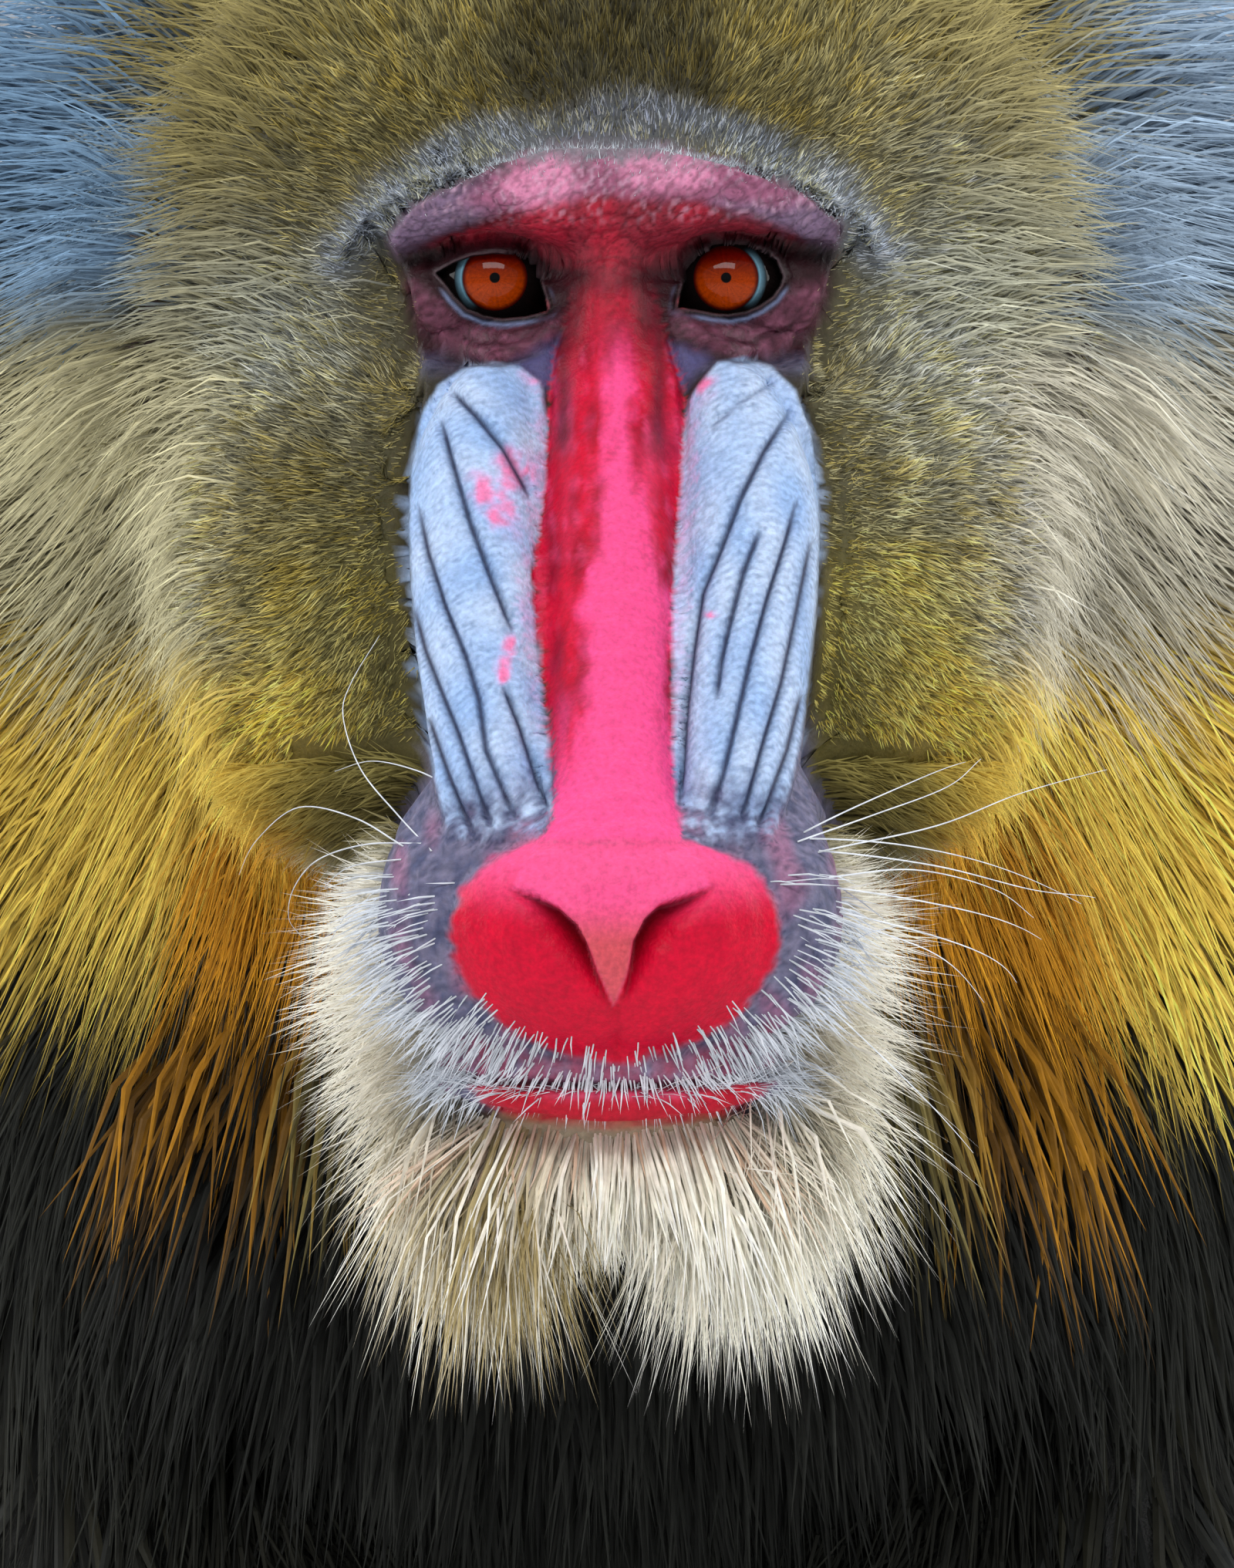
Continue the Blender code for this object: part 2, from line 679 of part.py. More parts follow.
def tail_region(grow=0.0):
    root = at(0, 0.796, 0.520)
    run = (at(0, 0.816, 0.548) - root).normalized()
    front = Vector((0, -run.z, run.y))
    planes = [
        (root, -run), (root + run * 0.2, run),
        (root + front * 0.035, front), (root - front * 0.05, -front),
        (Vector((0.05, 0, 0)), (1, 0, 0)), (Vector((-0.05, 0, 0)), (-1, 0, 0)),
    ]
    return block("tail_region", planes, grow)


def arm_region(side):
    def region(grow=0.0):
        inner, outer = at(0.048 * side, 0.2, 0.265), at(0.098 * side, 0.2, 0.415)
        run = outer - inner
        inward = Vector((-run.z * side, 0, run.x * side))
        planes = [
            (inner, inward), (at(0.3 * side, 0.2, 0.3), -inward),
            (at(0, 0.125, 0.3), (0, -1, 0)), (at(0, 0.290, 0.4), (0, 1, 0.14)),
            (at(0, 0.2, 0.425), (-0.55 * side, 0, 1)), (at(0, 0.2, -0.1), (0, 0, -1)),
        ]
        return block("arm_region", planes, grow)
    return region


def leg_region(side):
    def region(grow=0.0):
        inner, outer = at(0.016 * side, 0.7, 0.300), at(0.060 * side, 0.7, 0.430)
        run = outer - inner
        inward = Vector((-run.z * side, 0, run.x * side))
        planes = [
            (inner, inward), (at(0.3 * side, 0.7, 0.3), -inward),
            (at(0, 0.600, 0.43), (0, -1, 0.26)), (at(0, 0.90, 0.3), (0, 1, 0)),
            (at(0, 0.7, 0.425), (-0.45 * side, 0, 1)), (at(0, 0.7, -0.1), (0, 0, -1)),
        ]
        return block("leg_region", planes, grow)
    return region


def below(point, down):
    """The region past a plane across a limb."""
    def region(grow=0.0):
        run = Vector(down).normalized()
        aside = Vector((0, run.z, -run.y)).normalized()
        planes = [
            (point, -run), (point + run * 0.4, run),
            (point + aside * 0.2, aside), (point - aside * 0.2, -aside),
            (point + Vector((0.09, 0, 0)), (1, 0, 0)), (point - Vector((0.09, 0, 0)), (-1, 0, 0)),
        ]
        return block("below", planes, grow)
    return region


def hind_body(grow=0.0):
    planes = [
        (at(0, 0.600, 0.43), (0, -1, 0.1)), (at(0, 1.0, 0.4), (0, 1, 0)),
        (at(0, 0.7, 0.8), (0, 0, 1)), (at(0, 0.7, 0.0), (0, 0, -1)),
        (Vector((0.4, 0, 0)), (1, 0, 0)), (Vector((-0.4, 0, 0)), (-1, 0, 0)),
    ]
    return block("hind_body", planes, grow)


WRIST_Z = 0.086
ANKLE_Z = 0.078
tail = part_off(body, "tail", tail_region, parts)
neck = part_off(body, "neck", neck_region, parts)
for word, side in SIDES.items():
    fore_stride, hind_stride = STRIDES[word]
    arm = part_off(body, "arm", arm_region(side), helpers)
    part_off(arm, "hand_end", below(at(0.1 * side, 0.195 - fore_stride, WRIST_Z), (0, 0, -1)), helpers)
    part_off(arm, "forearm_" + word, below(at(0.108 * side, 0.238 - 0.35 * fore_stride, 0.248), (0, -0.15, -1)), parts)
    upper = copy_of(arm, "upper_arm_" + word, parts)
    keep_largest(upper)
    leg = part_off(body, "leg", leg_region(side), helpers)
    part_off(leg, "foot_end", below(at(0.1 * side, 0.72 - hind_stride, ANKLE_Z), (0, 0, -1)), helpers)
    part_off(leg, "shank_" + word, below(at(0.104 * side, 0.625 - 0.5 * hind_stride, 0.248), (0, 0.3, -1)), parts)
    upper = copy_of(leg, "thigh_" + word, parts)
    keep_largest(upper)
rump = part_off(body, "rump", hind_body, parts)
torso = copy_of(body, "torso", parts)
keep_largest(torso)


def cut_flat(item, top):
    """Keeps what lies between the floor and the cut across the limb."""
    planes = [
        (Vector((0, 0, 0)), (0, 0, -1)), (Vector((0, 0, top)), (0, 0, 1)),
        (Vector((1, 0, 0)), (1, 0, 0)), (Vector((-1, 0, 0)), (-1, 0, 0)),
        (Vector((0, 1, 0)), (0, 1, 0)), (Vector((0, -1, 0)), (0, -1, 0)),
    ]
    combine(item, "INTERSECT", [block("floor_cut", planes)])
    return keep_largest(item)


def hand(word):
    side, stride = SIDES[word], STRIDES[word][0]
    def spot(x, back, up):
        return at(side * (0.098 + x), back - stride, up - 0.0022)
    palm = [
        (spot(0.001, 0.200, 0.110), 0.028, 0.029), (spot(0.0, 0.193, 0.080), 0.026, 0.026),
        (spot(0.0, 0.184, 0.052), 0.027, 0.020), (spot(0.0, 0.166, 0.028), 0.031, 0.015),
        (spot(0.001, 0.146, 0.016), 0.033, 0.011),
    ]
    pieces = [loft("palm", palm, helpers, sides=20)]
    for x, reach in ((-0.0235, 0.048), (-0.0080, 0.060), (0.0080, 0.058), (0.0235, 0.046)):
        finger = [
            (spot(x * 0.9, 0.156, 0.017), 0.0095, 0.0090), (spot(x, 0.140, 0.0145), 0.0088, 0.0085),
            (spot(x * 1.08, 0.146 - reach * 0.6, 0.0125), 0.0080, 0.0075),
            (spot(x * 1.15, 0.146 - reach, 0.0068), 0.0064, 0.0062),
        ]
        pieces.append(loft("finger", finger, helpers, sides=12, steps=3))
    thumb = [
        (spot(-0.020, 0.176, 0.030), 0.0100, 0.0100), (spot(-0.034, 0.160, 0.018), 0.0085, 0.0085),
        (spot(-0.041, 0.142, 0.0075), 0.0065, 0.0065),
    ]
    pieces.append(loft("thumb", thumb, helpers, sides=12, steps=3))
    made = fuse("hand_" + word, pieces, parts, 0.0024, 2, 310)
    return cut_flat(made, WRIST_Z - GAP / 2)


def foot(word):
    side, stride = SIDES[word], STRIDES[word][1]
    def spot(x, back, up):
        return at(side * (0.098 + x), back - stride, up - 0.0022)
    ankle = [
        (spot(0.001, 0.712, 0.110), 0.027, 0.031), (spot(0.0, 0.722, 0.080), 0.026, 0.029),
        (spot(0.0, 0.730, 0.050), 0.023, 0.026), (spot(0.0, 0.733, 0.028), 0.020, 0.024),
    ]
    sole = [
        (spot(0.0, 0.742, 0.020), 0.020, 0.019), (spot(0.0, 0.715, 0.028), 0.023, 0.026),
        (spot(0.001, 0.680, 0.028), 0.026, 0.024), (spot(0.002, 0.645, 0.018), 0.030, 0.016),
        (spot(0.003, 0.622, 0.013), 0.031, 0.011),
    ]
    pieces = [loft("ankle", ankle, helpers, sides=20), loft("sole", sole, helpers, sides=20)]
    for x, reach in ((-0.0200, 0.060), (-0.0050, 0.064), (0.0110, 0.060), (0.0255, 0.050)):
        toe = [
            (spot(x * 0.9, 0.632, 0.015), 0.0095, 0.0090), (spot(x, 0.616, 0.0125), 0.0085, 0.0080),
            (spot(x * 1.08, 0.622 - reach * 0.6, 0.0115), 0.0078, 0.0074),
            (spot(x * 1.15, 0.622 - reach, 0.0064), 0.0062, 0.0060),
        ]
        pieces.append(loft("toe", toe, helpers, sides=12, steps=3))
    big = [
        (spot(-0.016, 0.690, 0.022), 0.0130, 0.0130), (spot(-0.034, 0.664, 0.014), 0.0110, 0.0105),
        (spot(-0.047, 0.634, 0.0085), 0.0082, 0.0078),
    ]
    pieces.append(loft("big_toe", big, helpers, sides=12, steps=3))
    made = fuse("foot_" + word, pieces, parts, 0.0024, 2, 330)
    return cut_flat(made, ANKLE_Z - GAP / 2)


# The bare sitting pads at the rear.
def pad_form(word, grow=0.0):
    side = SIDES[word]
    half = Vector((0.0240, 0.0120, 0.0330)) + Vector((grow,) * 3)
    into = parts if grow == 0 else helpers
    return ellipsoid("callosity_" + word, at(side * 0.0330, 0.803, 0.402), half, into, tilt=14, turn=side * 16,
                     segments=12, rings=6)


for word in SIDES:
    hand(word)
    foot(word)
    combine(rump, "DIFFERENCE", [pad_form(word, GAP)])
    pad_form(word)
keep_largest(rump)

def sample_surface(item, count, seed):
    """Seeded points spread over a mesh by area, with their normals."""
    item.data.calc_loop_triangles()
    spots = np.array([v.co[:] for v in item.data.vertices])
    faces = np.array([t.vertices[:] for t in item.data.loop_triangles])
    a, b, c = (spots[faces[:, k]] for k in range(3))
    cross = np.cross(b - a, c - a)
    areas = np.linalg.norm(cross, axis=1)
    rng = np.random.default_rng(seed)
    picked = rng.choice(len(faces), count, p=areas / areas.sum())
    u, v = rng.random(len(picked)), rng.random(len(picked))
    flip = u + v > 1
    u[flip], v[flip] = 1 - u[flip], 1 - v[flip]
    points = a[picked] + (b[picked] - a[picked]) * u[:, None] + (c[picked] - a[picked]) * v[:, None]
    normals = cross[picked] / areas[picked][:, None]
    return points, normals


def lock_shape(name, spine, normals, width, thickness, grow=0.0):
    """A flat tapered lock along a spine: two edges and a low ridge, closed, with a pointed tip."""
    bm = bmesh.new()
    rings = []
    for k, share in enumerate(LOCK_SHARES):
        along = (spine[k + 1] - spine[max(k - 1, 0)]).normalized()
        across = along.cross(normals[k]).normalized()
        up = across.cross(along)
        w, t = width * share / 2 + grow, thickness / 2 + grow
        rings.append([bm.verts.new(spine[k] + p) for p in (across * w - up * t, up * t, -across * w - up * t)])
    tip = bm.verts.new(spine[3] + (spine[3] - spine[2]).normalized() * grow * 3)
    for low, high in zip(rings, rings[1:]):
        for k in range(3):
            bm.faces.new((low[k], low[(k + 1) % 3], high[(k + 1) % 3], high[k]))
    for k in range(3):
        bm.faces.new((rings[2][k], rings[2][(k + 1) % 3], tip))
    bm.faces.new(rings[0])
    return object_from(bm, name, helpers)


def tree_of(item):
    item.data.calc_loop_triangles()
    return BVHTree.FromPolygons([v.co[:] for v in item.data.vertices],
                                [t.vertices[:] for t in item.data.loop_triangles])


def trace(tree, root, normal, lie, length, sink, lift):
    """A spine over the surface from a root sunk in it to a tip that stands clear of it."""
    spine, normals = [root - normal * sink], [normal]
    spot, out = root, normal
    for height in (lift * 0.24, lift * 0.62, lift):
        way = lie(spot, out)
        way = (way - out * way.dot(out)).normalized()
        spot, out, _, _ = tree.find_nearest(spot + way * length / 3)
        spine.append(spot + out * height)
        normals.append(out)
    return spine, normals


def hang(tree, root, normal, lie, length, sink, lift):
    """A spine that leaves the surface and hangs free."""
    way = lie(root, normal).normalized()
    spine = [root - normal * sink]
    normals = [normal]
    for k in (1, 2, 3):
        bulge = normal * lift * (1.0, 1.0, 0.4)[k - 1]
        spine.append(root + way * length * k / 3 + bulge)
        normals.append(normal)
    return spine, normals


def drape(tree, root, normal, lie, length, sink, lift):
    """A spine that leaves the surface and hangs free, with its flat side turned forward."""
    spine, _ = hang(tree, root, normal, lie, length, sink, lift)
    return spine, [Vector((0, -1, 0.1))] * 4


def touches(shape, trees):
    own = tree_of(shape)
    return any(own.overlap(tree) for tree in trees)


form_tree = tree_of(form)


def grow_locks(item, lie, spacing, length, width, thickness, lift, where, seed, follow=trace):
    """Covers a node with locks that keep clear of every other node."""
    others = [tree_of(other) for other in parts.objects if other is not item]
    points, normals = sample_surface(item, 4000, seed)
    chosen = [i for i, p in enumerate(points) if where(Vector(p), Vector(normals[i]))]
    points, normals = points[chosen], normals[chosen]
    rng = random.Random(seed)
    shapes, roots = [], []
    for point, normal in zip(points[:700], normals[:700]):
        root, normal = Vector(point), Vector(normal)
        if any((root - other).length < spacing for other in roots):
            continue
        size = rng.uniform(0.82, 1.18)
        sway = rng.uniform(-0.20, 0.20)

        def swayed(spot, out):
            way = lie(spot, out)
            return way + way.cross(out) * sway

        for share in (1.0, 0.85, 0.7, 0.55):
            spine, ups = follow(form_tree, root, normal, swayed, length * size * share, LOCK_SINK, lift * size * share)
            probe = lock_shape("probe", spine, ups, width * size * share, thickness, LOCK_CLEAR)
            low = min(v.co.z for v in probe.data.vertices)
            blocked = low < 0.004 or touches(probe, others)
            remove(probe)
            if not blocked:
                shapes.append(lock_shape("lock", spine, ups, width * size * share, thickness))
                roots.append(root)
                break
    combine(item, "UNION", shapes)
    return keep_largest(item)


LOCK_SHARES = (0.50, 1.0, 0.74)
LOCK_SINK = 0.0045
LOCK_CLEAR = 0.0010


def lie_trunk(spot, out):
    """Hair on the trunk lies back, down the sides and outward over the shoulders."""
    side = math.copysign(min(1.0, abs(spot.x) / 0.08), spot.x)
    return Vector((0.25 * side, 1.0, -0.45 - 0.5 * abs(side)))


def lie_mane(spot, out):
    """Hair of the mane sweeps out and back from the head."""
    centre = face(0, -0.10, -0.03)
    away = Vector((spot.x - centre.x, 0, spot.z - centre.z)).normalized()
    return away * 0.55 + Vector((0, 1.0, -0.2))


def lie_limb(spot, out):
    return Vector((0, 0.40, -1.0))


def lie_head(spot, out):
    """Hair of the head runs from the face out and back, up over the crown and down the cheeks."""
    centre = face(0, 0.02, -0.01)
    away = Vector((spot.x - centre.x, 0, spot.z - centre.z)).normalized()
    return away * 0.6 + Vector((0, 1.0, -0.2))


def lie_beard(spot, out):
    side = max(-1.0, min(1.0, spot.x / 0.04))
    return Vector((0.55 * side, -0.05, -1.0)) + out * 0.15


def lie_tail(spot, out):
    return Vector((0, 0.5, 1.0))


def lie_chest(spot, out):
    """Long hair of the chest hangs down and a little back between the arms."""
    return Vector((0, 0.18, -1.0))


def behind_face(spot, out):
    forward, up = EYES_Y - spot.y, spot.z - EYES_Z
    on_crown = up > 0.036 and forward < -0.026
    on_cheek = abs(spot.x) > 0.058 and forward < -0.030 and up < 0.036
    under = up < -0.080 and forward < -0.030
    return (on_crown or on_cheek or under) and out.y < 0.6


def under_chin(spot, out):
    forward, up = EYES_Y - spot.y, spot.z - EYES_Z
    return out.z < 0.15 and forward < 0.073 and up < -0.090 and out.y > -0.75


def under_chest(spot, out):
    back = spot.y - EYES_Y
    return out.z < 0.1 and abs(spot.x) < 0.062 and 0.125 < back < 0.250 and spot.z < 0.37


def outer(side):
    return lambda spot, out: side * out.x > 0.25 and abs(out.z) < 0.85


hairy = (
    ("lower_jaw", lie_beard, 40, 0.0212, 0.046, 0.0230, 0.0060, 0.006, under_chin, hang),
    ("head", lie_head, 81, 0.0360, 0.072, 0.0320, 0.0060, 0.015, behind_face, trace),
    ("neck", lie_mane, 52, 0.0370, 0.105, 0.0430, 0.0080, 0.028, lambda p, n: n.y < 0.5, trace),
    ("upper_arm_left", lie_limb, 43, 0.0690, 0.105, 0.0480, 0.0075, 0.018, outer(1), trace),
    ("upper_arm_right", lie_limb, 44, 0.0690, 0.105, 0.0480, 0.0075, 0.018, outer(-1), trace),
    ("thigh_left", lie_limb, 55, 0.0780, 0.105, 0.0520, 0.0075, 0.015, outer(1), trace),
    ("thigh_right", lie_limb, 56, 0.0780, 0.105, 0.0520, 0.0075, 0.015, outer(-1), trace),
    ("torso", lie_trunk, 57, 0.0785, 0.145, 0.0720, 0.0085, 0.024, lambda p, n: abs(n.y) < 0.95, trace),
    ("torso", lie_chest, 61, 0.0330, 0.066, 0.0380, 0.0100, 0.006, under_chest, drape),
    ("rump", lie_trunk, 48, 0.0740, 0.090, 0.0520, 0.0075, 0.014, lambda p, n: p.z > 0.44, trace),
    ("tail", lie_tail, 49, 0.0290, 0.040, 0.0200, 0.0050, 0.006, lambda p, n: p.z < 0.560, hang),
)
for name, lie, seed, spacing, length, width, thickness, lift, where, follow in hairy:
    grow_locks(parts.objects[name], lie, spacing, length, width, thickness, lift, where, seed, follow)
for item in list(helpers.objects):
    remove(item)

COATS = {
    "coat_olive": (FUR_OLIVE, 0.85, ("head", "neck", "tail", "upper_arm_left", "upper_arm_right")),
    "coat_grey": (FUR_GREY, 0.85, ("torso", "rump", "thigh_left", "thigh_right")),
    "coat_dark": (FUR_DARK, 0.85, ("forearm_left", "forearm_right", "shank_left", "shank_right")),
    "beard_pale": (FUR_WHITE, 0.80, ("lower_jaw",)),
    "skin_slate": (SKIN_SLATE, 0.55, ("muzzle",)),
    "skin_blue": (SKIN_BLUE, 0.50, ("nasal_ridge_left", "nasal_ridge_right")),
    "skin_red": (SKIN_RED, 0.45, ("nose", "nose_bridge")),
    "skin_dark": (SKIN_DARK, 0.60, ("hand_left", "hand_right", "foot_left", "foot_right")),
    "skin_ear": (SKIN_EAR, 0.55, ("ear_left", "ear_right")),
    "skin_violet": (SKIN_VIOLET, 0.50, ("callosity_left", "callosity_right")),
    "eye_amber": (EYE_AMBER, 0.08, ("eye_left", "eye_right")),
}
for slot, (colour, roughness, names) in COATS.items():
    look = material(slot, colour, roughness)
    for name in names:
        item = parts.objects[name]
        item.data.materials.clear()
        item.data.materials.append(look)
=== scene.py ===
"""The looks of a life-size adult male mandrill: one skin, its coat in tufts, eyes, whiskers and nails.

Lengths are in metres. The animal faces -Y, its left side is +X, +Z is up and the floor is z = 0.
Markings of the face are laid out in the photograph's pixels, 0.15 mm each at the eyes.
"""
import json
import math

import bmesh
import bpy
import numpy as np
from mathutils import Matrix, Vector
from mathutils.bvhtree import BVHTree

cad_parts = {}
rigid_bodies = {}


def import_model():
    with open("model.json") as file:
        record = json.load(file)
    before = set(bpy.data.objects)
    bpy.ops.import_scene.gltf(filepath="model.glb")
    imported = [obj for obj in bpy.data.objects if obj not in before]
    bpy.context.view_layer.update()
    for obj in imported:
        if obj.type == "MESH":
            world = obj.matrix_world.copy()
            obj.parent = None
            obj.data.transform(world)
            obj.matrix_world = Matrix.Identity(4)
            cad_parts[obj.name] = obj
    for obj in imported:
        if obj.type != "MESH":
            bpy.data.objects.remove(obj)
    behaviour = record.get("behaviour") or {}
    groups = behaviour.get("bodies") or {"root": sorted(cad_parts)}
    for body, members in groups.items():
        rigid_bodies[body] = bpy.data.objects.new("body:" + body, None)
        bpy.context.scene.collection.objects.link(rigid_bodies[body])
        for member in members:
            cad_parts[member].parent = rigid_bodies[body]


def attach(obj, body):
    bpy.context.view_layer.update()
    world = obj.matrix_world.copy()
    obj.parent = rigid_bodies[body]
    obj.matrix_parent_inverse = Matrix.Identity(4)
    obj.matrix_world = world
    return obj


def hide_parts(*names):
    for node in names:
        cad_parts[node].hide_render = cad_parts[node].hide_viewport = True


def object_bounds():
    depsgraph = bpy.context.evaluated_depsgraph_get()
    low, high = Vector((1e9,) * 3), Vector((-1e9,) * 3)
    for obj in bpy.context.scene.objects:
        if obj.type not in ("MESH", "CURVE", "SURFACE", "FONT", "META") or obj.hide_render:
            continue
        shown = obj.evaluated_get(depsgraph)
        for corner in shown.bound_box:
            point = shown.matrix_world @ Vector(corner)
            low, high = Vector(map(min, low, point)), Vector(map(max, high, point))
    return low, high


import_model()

cad_box = [list(map(float, corner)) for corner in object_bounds()]

EYES_Y = -0.373
EYES_Z = 0.490
EYE_SPACING = 0.0225
EYE_RADIUS = 0.0118
EYE_DEPTH = 0.0125
LID_THICKNESS = 0.0019

# The camera looks along +Y, level with the middle of the frame.
CAMERA_DISTANCE = 2.5
PIXEL = 0.00015
FRAME_WIDTH = 1600
FRAME_HEIGHT = 2033
MIDLINE_U = 791.5
EYE_ROW = 360.0
AIM_X = (FRAME_WIDTH / 2 - MIDLINE_U) * PIXEL
AIM_Z = EYES_Z - (FRAME_HEIGHT / 2 - EYE_ROW) * PIXEL
CAMERA_Y = EYES_Y - CAMERA_DISTANCE


def at(x, back, up):
    """A point of the trunk or limbs."""
    return Vector((x, EYES_Y + back, up))


def face(x, forward, up):
    """A point of the head, from the point between the eyes."""
    return Vector((x, EYES_Y - forward, EYES_Z + up))


def srgb(red, green, blue):
    """A colour from eight-bit display values."""
    values = np.array([red, green, blue]) / 255.0
    return np.where(values <= 0.04045, values / 12.92, ((values + 0.055) / 1.055) ** 2.4)


def step(low, high, value):
    """Smooth change from 0 to 1."""
    t = np.clip((value - low) / (high - low), 0.0, 1.0)
    return t * t * (3 - 2 * t)


def mix(first, second, share):
    """A blend of two colours, or rows of them, by a share from 0 to 1."""
    share = np.asarray(share)
    if share.ndim == 1:
        share = share[:, None]
    return first * (1 - share) + second * share


def photo(points):
    """Where points fall in the photograph's frame."""
    scale = (points[:, 1] - CAMERA_Y) / CAMERA_DISTANCE * PIXEL
    u = FRAME_WIDTH / 2 + (points[:, 0] - AIM_X) / scale
    v = FRAME_HEIGHT / 2 - (points[:, 2] - AIM_Z) / scale
    return u, v


def along(u, v, line):
    """Distance from a polyline in pixels, and how far along it the nearest point lies, from 0 to 1."""
    line = np.array(line, float)
    lengths = np.linalg.norm(np.diff(line, axis=0), axis=1)
    total = lengths.sum()
    best = np.full(u.shape, 1e9)
    share = np.zeros(u.shape)
    run = 0.0
    for (x0, y0), (x1, y1), length in zip(line, line[1:], lengths):
        t = np.clip(((u - x0) * (x1 - x0) + (v - y0) * (y1 - y0)) / max(length, 1e-9) ** 2, 0, 1)
        away = np.hypot(u - x0 - t * (x1 - x0), v - y0 - t * (y1 - y0))
        nearer = away < best
        best = np.where(nearer, away, best)
        share = np.where(nearer, (run + t * length) / total, share)
        run += length
    return best, share


def inside(u, v, outline, soft=6.0):
    """1 within a closed outline and 0 outside, with a soft edge."""
    line = np.array(outline, float)
    closed = np.vstack([line, line[:1]])
    away, _ = along(u, v, closed)
    within = np.zeros(u.shape, bool)
    for (x0, y0), (x1, y1) in zip(closed, closed[1:]):
        if y0 == y1:
            continue
        crosses = (y0 > v) != (y1 > v)
        within ^= crosses & (u < (x1 - x0) * (v - y0) / (y1 - y0) + x0)
    return step(-soft, soft, np.where(within, away, -away))


def waves(points, size, seed):
    """Smooth noise between -1 and 1, from a few crossing waves."""
    rng = np.random.default_rng(seed)
    total = np.zeros(len(points))
    for _ in range(6):
        way = rng.normal(size=3)
        way *= 2 * math.pi / (size * rng.uniform(0.7, 1.6) * np.linalg.norm(way))
        total += np.sin(points @ way + rng.uniform(0, 2 * math.pi))
    return total / 3.2


def add_object(name, mesh):
    """An object for a mesh, kept with the working forms."""
    made = bpy.data.objects.new(name, mesh)
    helpers.objects.link(made)
    return made


def object_from(bm, name):
    """An object made of a finished bmesh, with its faces turned outward."""
    bmesh.ops.recalc_face_normals(bm, faces=bm.faces)
    mesh = bpy.data.meshes.new(name)
    bm.to_mesh(mesh)
    bm.free()
    return add_object(name, mesh)


def remove(item):
    """Takes an object out of the file."""
    bpy.data.objects.remove(item)


def bake(item):
    """Applies an object's modifiers."""
    bpy.context.view_layer.update()
    graph = bpy.context.evaluated_depsgraph_get()
    mesh = bpy.data.meshes.new_from_object(item.evaluated_get(graph))
    item.modifiers.clear()
    item.data = mesh
    return item


def smooth_rows(rows, steps):
    """Rows of numbers, with Catmull-Rom rows filled in between them."""
    rows = np.array(rows, float)
    ends = np.vstack([2 * rows[0] - rows[1], rows, 2 * rows[-1] - rows[-2]])
    filled = []
    for i in range(len(rows) - 1):
        a, b, c, d = ends[i:i + 4]
        for t in np.linspace(0, 1, steps, endpoint=False):
            filled.append(0.5 * (2 * b + (c - a) * t + (2 * a - 5 * b + 4 * c - d) * t * t
                                 + (3 * b - a - 3 * c + d) * t ** 3))
    filled.append(rows[-1])
    return np.array(filled)


def skin_rings(bm, rings):
    """Closed skin over rings of points, each end closed by a pole."""
    verts = [[bm.verts.new(p) for p in ring] for ring in rings]
    sides = len(verts[0])
    for low, high in zip(verts, verts[1:]):
        for k in range(sides):
            bm.faces.new((low[k], low[(k + 1) % sides], high[(k + 1) % sides], high[k]))
    for ring in (verts[0], verts[-1]):
        pole = bm.verts.new(sum((v.co for v in ring), Vector()) / sides)
        for k in range(sides):
            bm.faces.new((ring[k], ring[(k + 1) % sides], pole))


def ring_of(centre, across, up, half_width, half_height, sides, power):
    """A superellipse of points; power 2 is an ellipse and more is boxier."""
    ring = []
    for k in range(sides):
        angle = 2 * math.pi * k / sides
        c, s = math.cos(angle), math.sin(angle)
        u = math.copysign(abs(c) ** (2 / power), c) * half_width
        v = math.copysign(abs(s) ** (2 / power), s) * half_height
        ring.append(centre + across * u + up * v)
    return ring


CAP_ANGLES = (20, 45, 75)


def cap_rings(centre, run, across, up, width, height, sides, power, cap):
    """Shrinking rings past an end, which round it off; a cap below 0 goes back along the run."""
    rings = []
    for angle in CAP_ANGLES:
        reach = cap * math.sin(math.radians(angle)) * min(width, height)
        share = math.cos(math.radians(angle))
        rings.append(ring_of(centre + run * reach, across, up, width * share, height * share, sides, power))
    return rings


def loft(name, stations, sides=24, steps=4, power=2.0, cap=1.0):
    """A tube through stations (centre, half width across, half height), with round ends."""
    rows = smooth_rows([(*s[0], s[1], s[2]) for s in stations], steps)
    centres = [Vector(r[:3]) for r in rows]
    rings = []
    last = len(rows) - 1
    for i, row in enumerate(rows):
        run = (centres[min(i + 1, last)] - centres[max(i - 1, 0)]).normalized()
        across = (Vector((1, 0, 0)) - run * run.x).normalized()
        up = across.cross(run)
        shape = (across, up, row[3], row[4], sides, power)
        if i == 0:
            rings += cap_rings(centres[i], run, *shape, -cap)[::-1]
        rings.append(ring_of(centres[i], *shape))
        if i == last:
            rings += cap_rings(centres[i], run, *shape, cap)
    bm = bmesh.new()
    skin_rings(bm, rings)
    return object_from(bm, name)


def ellipsoid(name, centre, half, tilt=0.0, turn=0.0, segments=24, rings=12):
    """A UV sphere with half sizes across, along and up, tilted about X and turned about Z in degrees."""
    bm = bmesh.new()
    bmesh.ops.create_uvsphere(bm, u_segments=segments, v_segments=rings, radius=1.0)
    turned = Matrix.Rotation(math.radians(turn), 4, "Z") @ Matrix.Rotation(math.radians(tilt), 4, "X")
    placed = Matrix.Translation(centre) @ turned @ Matrix.Diagonal((*half, 1.0))
    bmesh.ops.transform(bm, verts=bm.verts, matrix=placed)
    return object_from(bm, name)


def join(name, forms):
    """One object that holds several closed shapes, still unjoined."""
    bm = bmesh.new()
    for form in forms:
        bm.from_mesh(form.data)
        remove(form)
    mesh = bpy.data.meshes.new(name)
    bm.to_mesh(mesh)
    bm.free()
    return add_object(name, mesh)


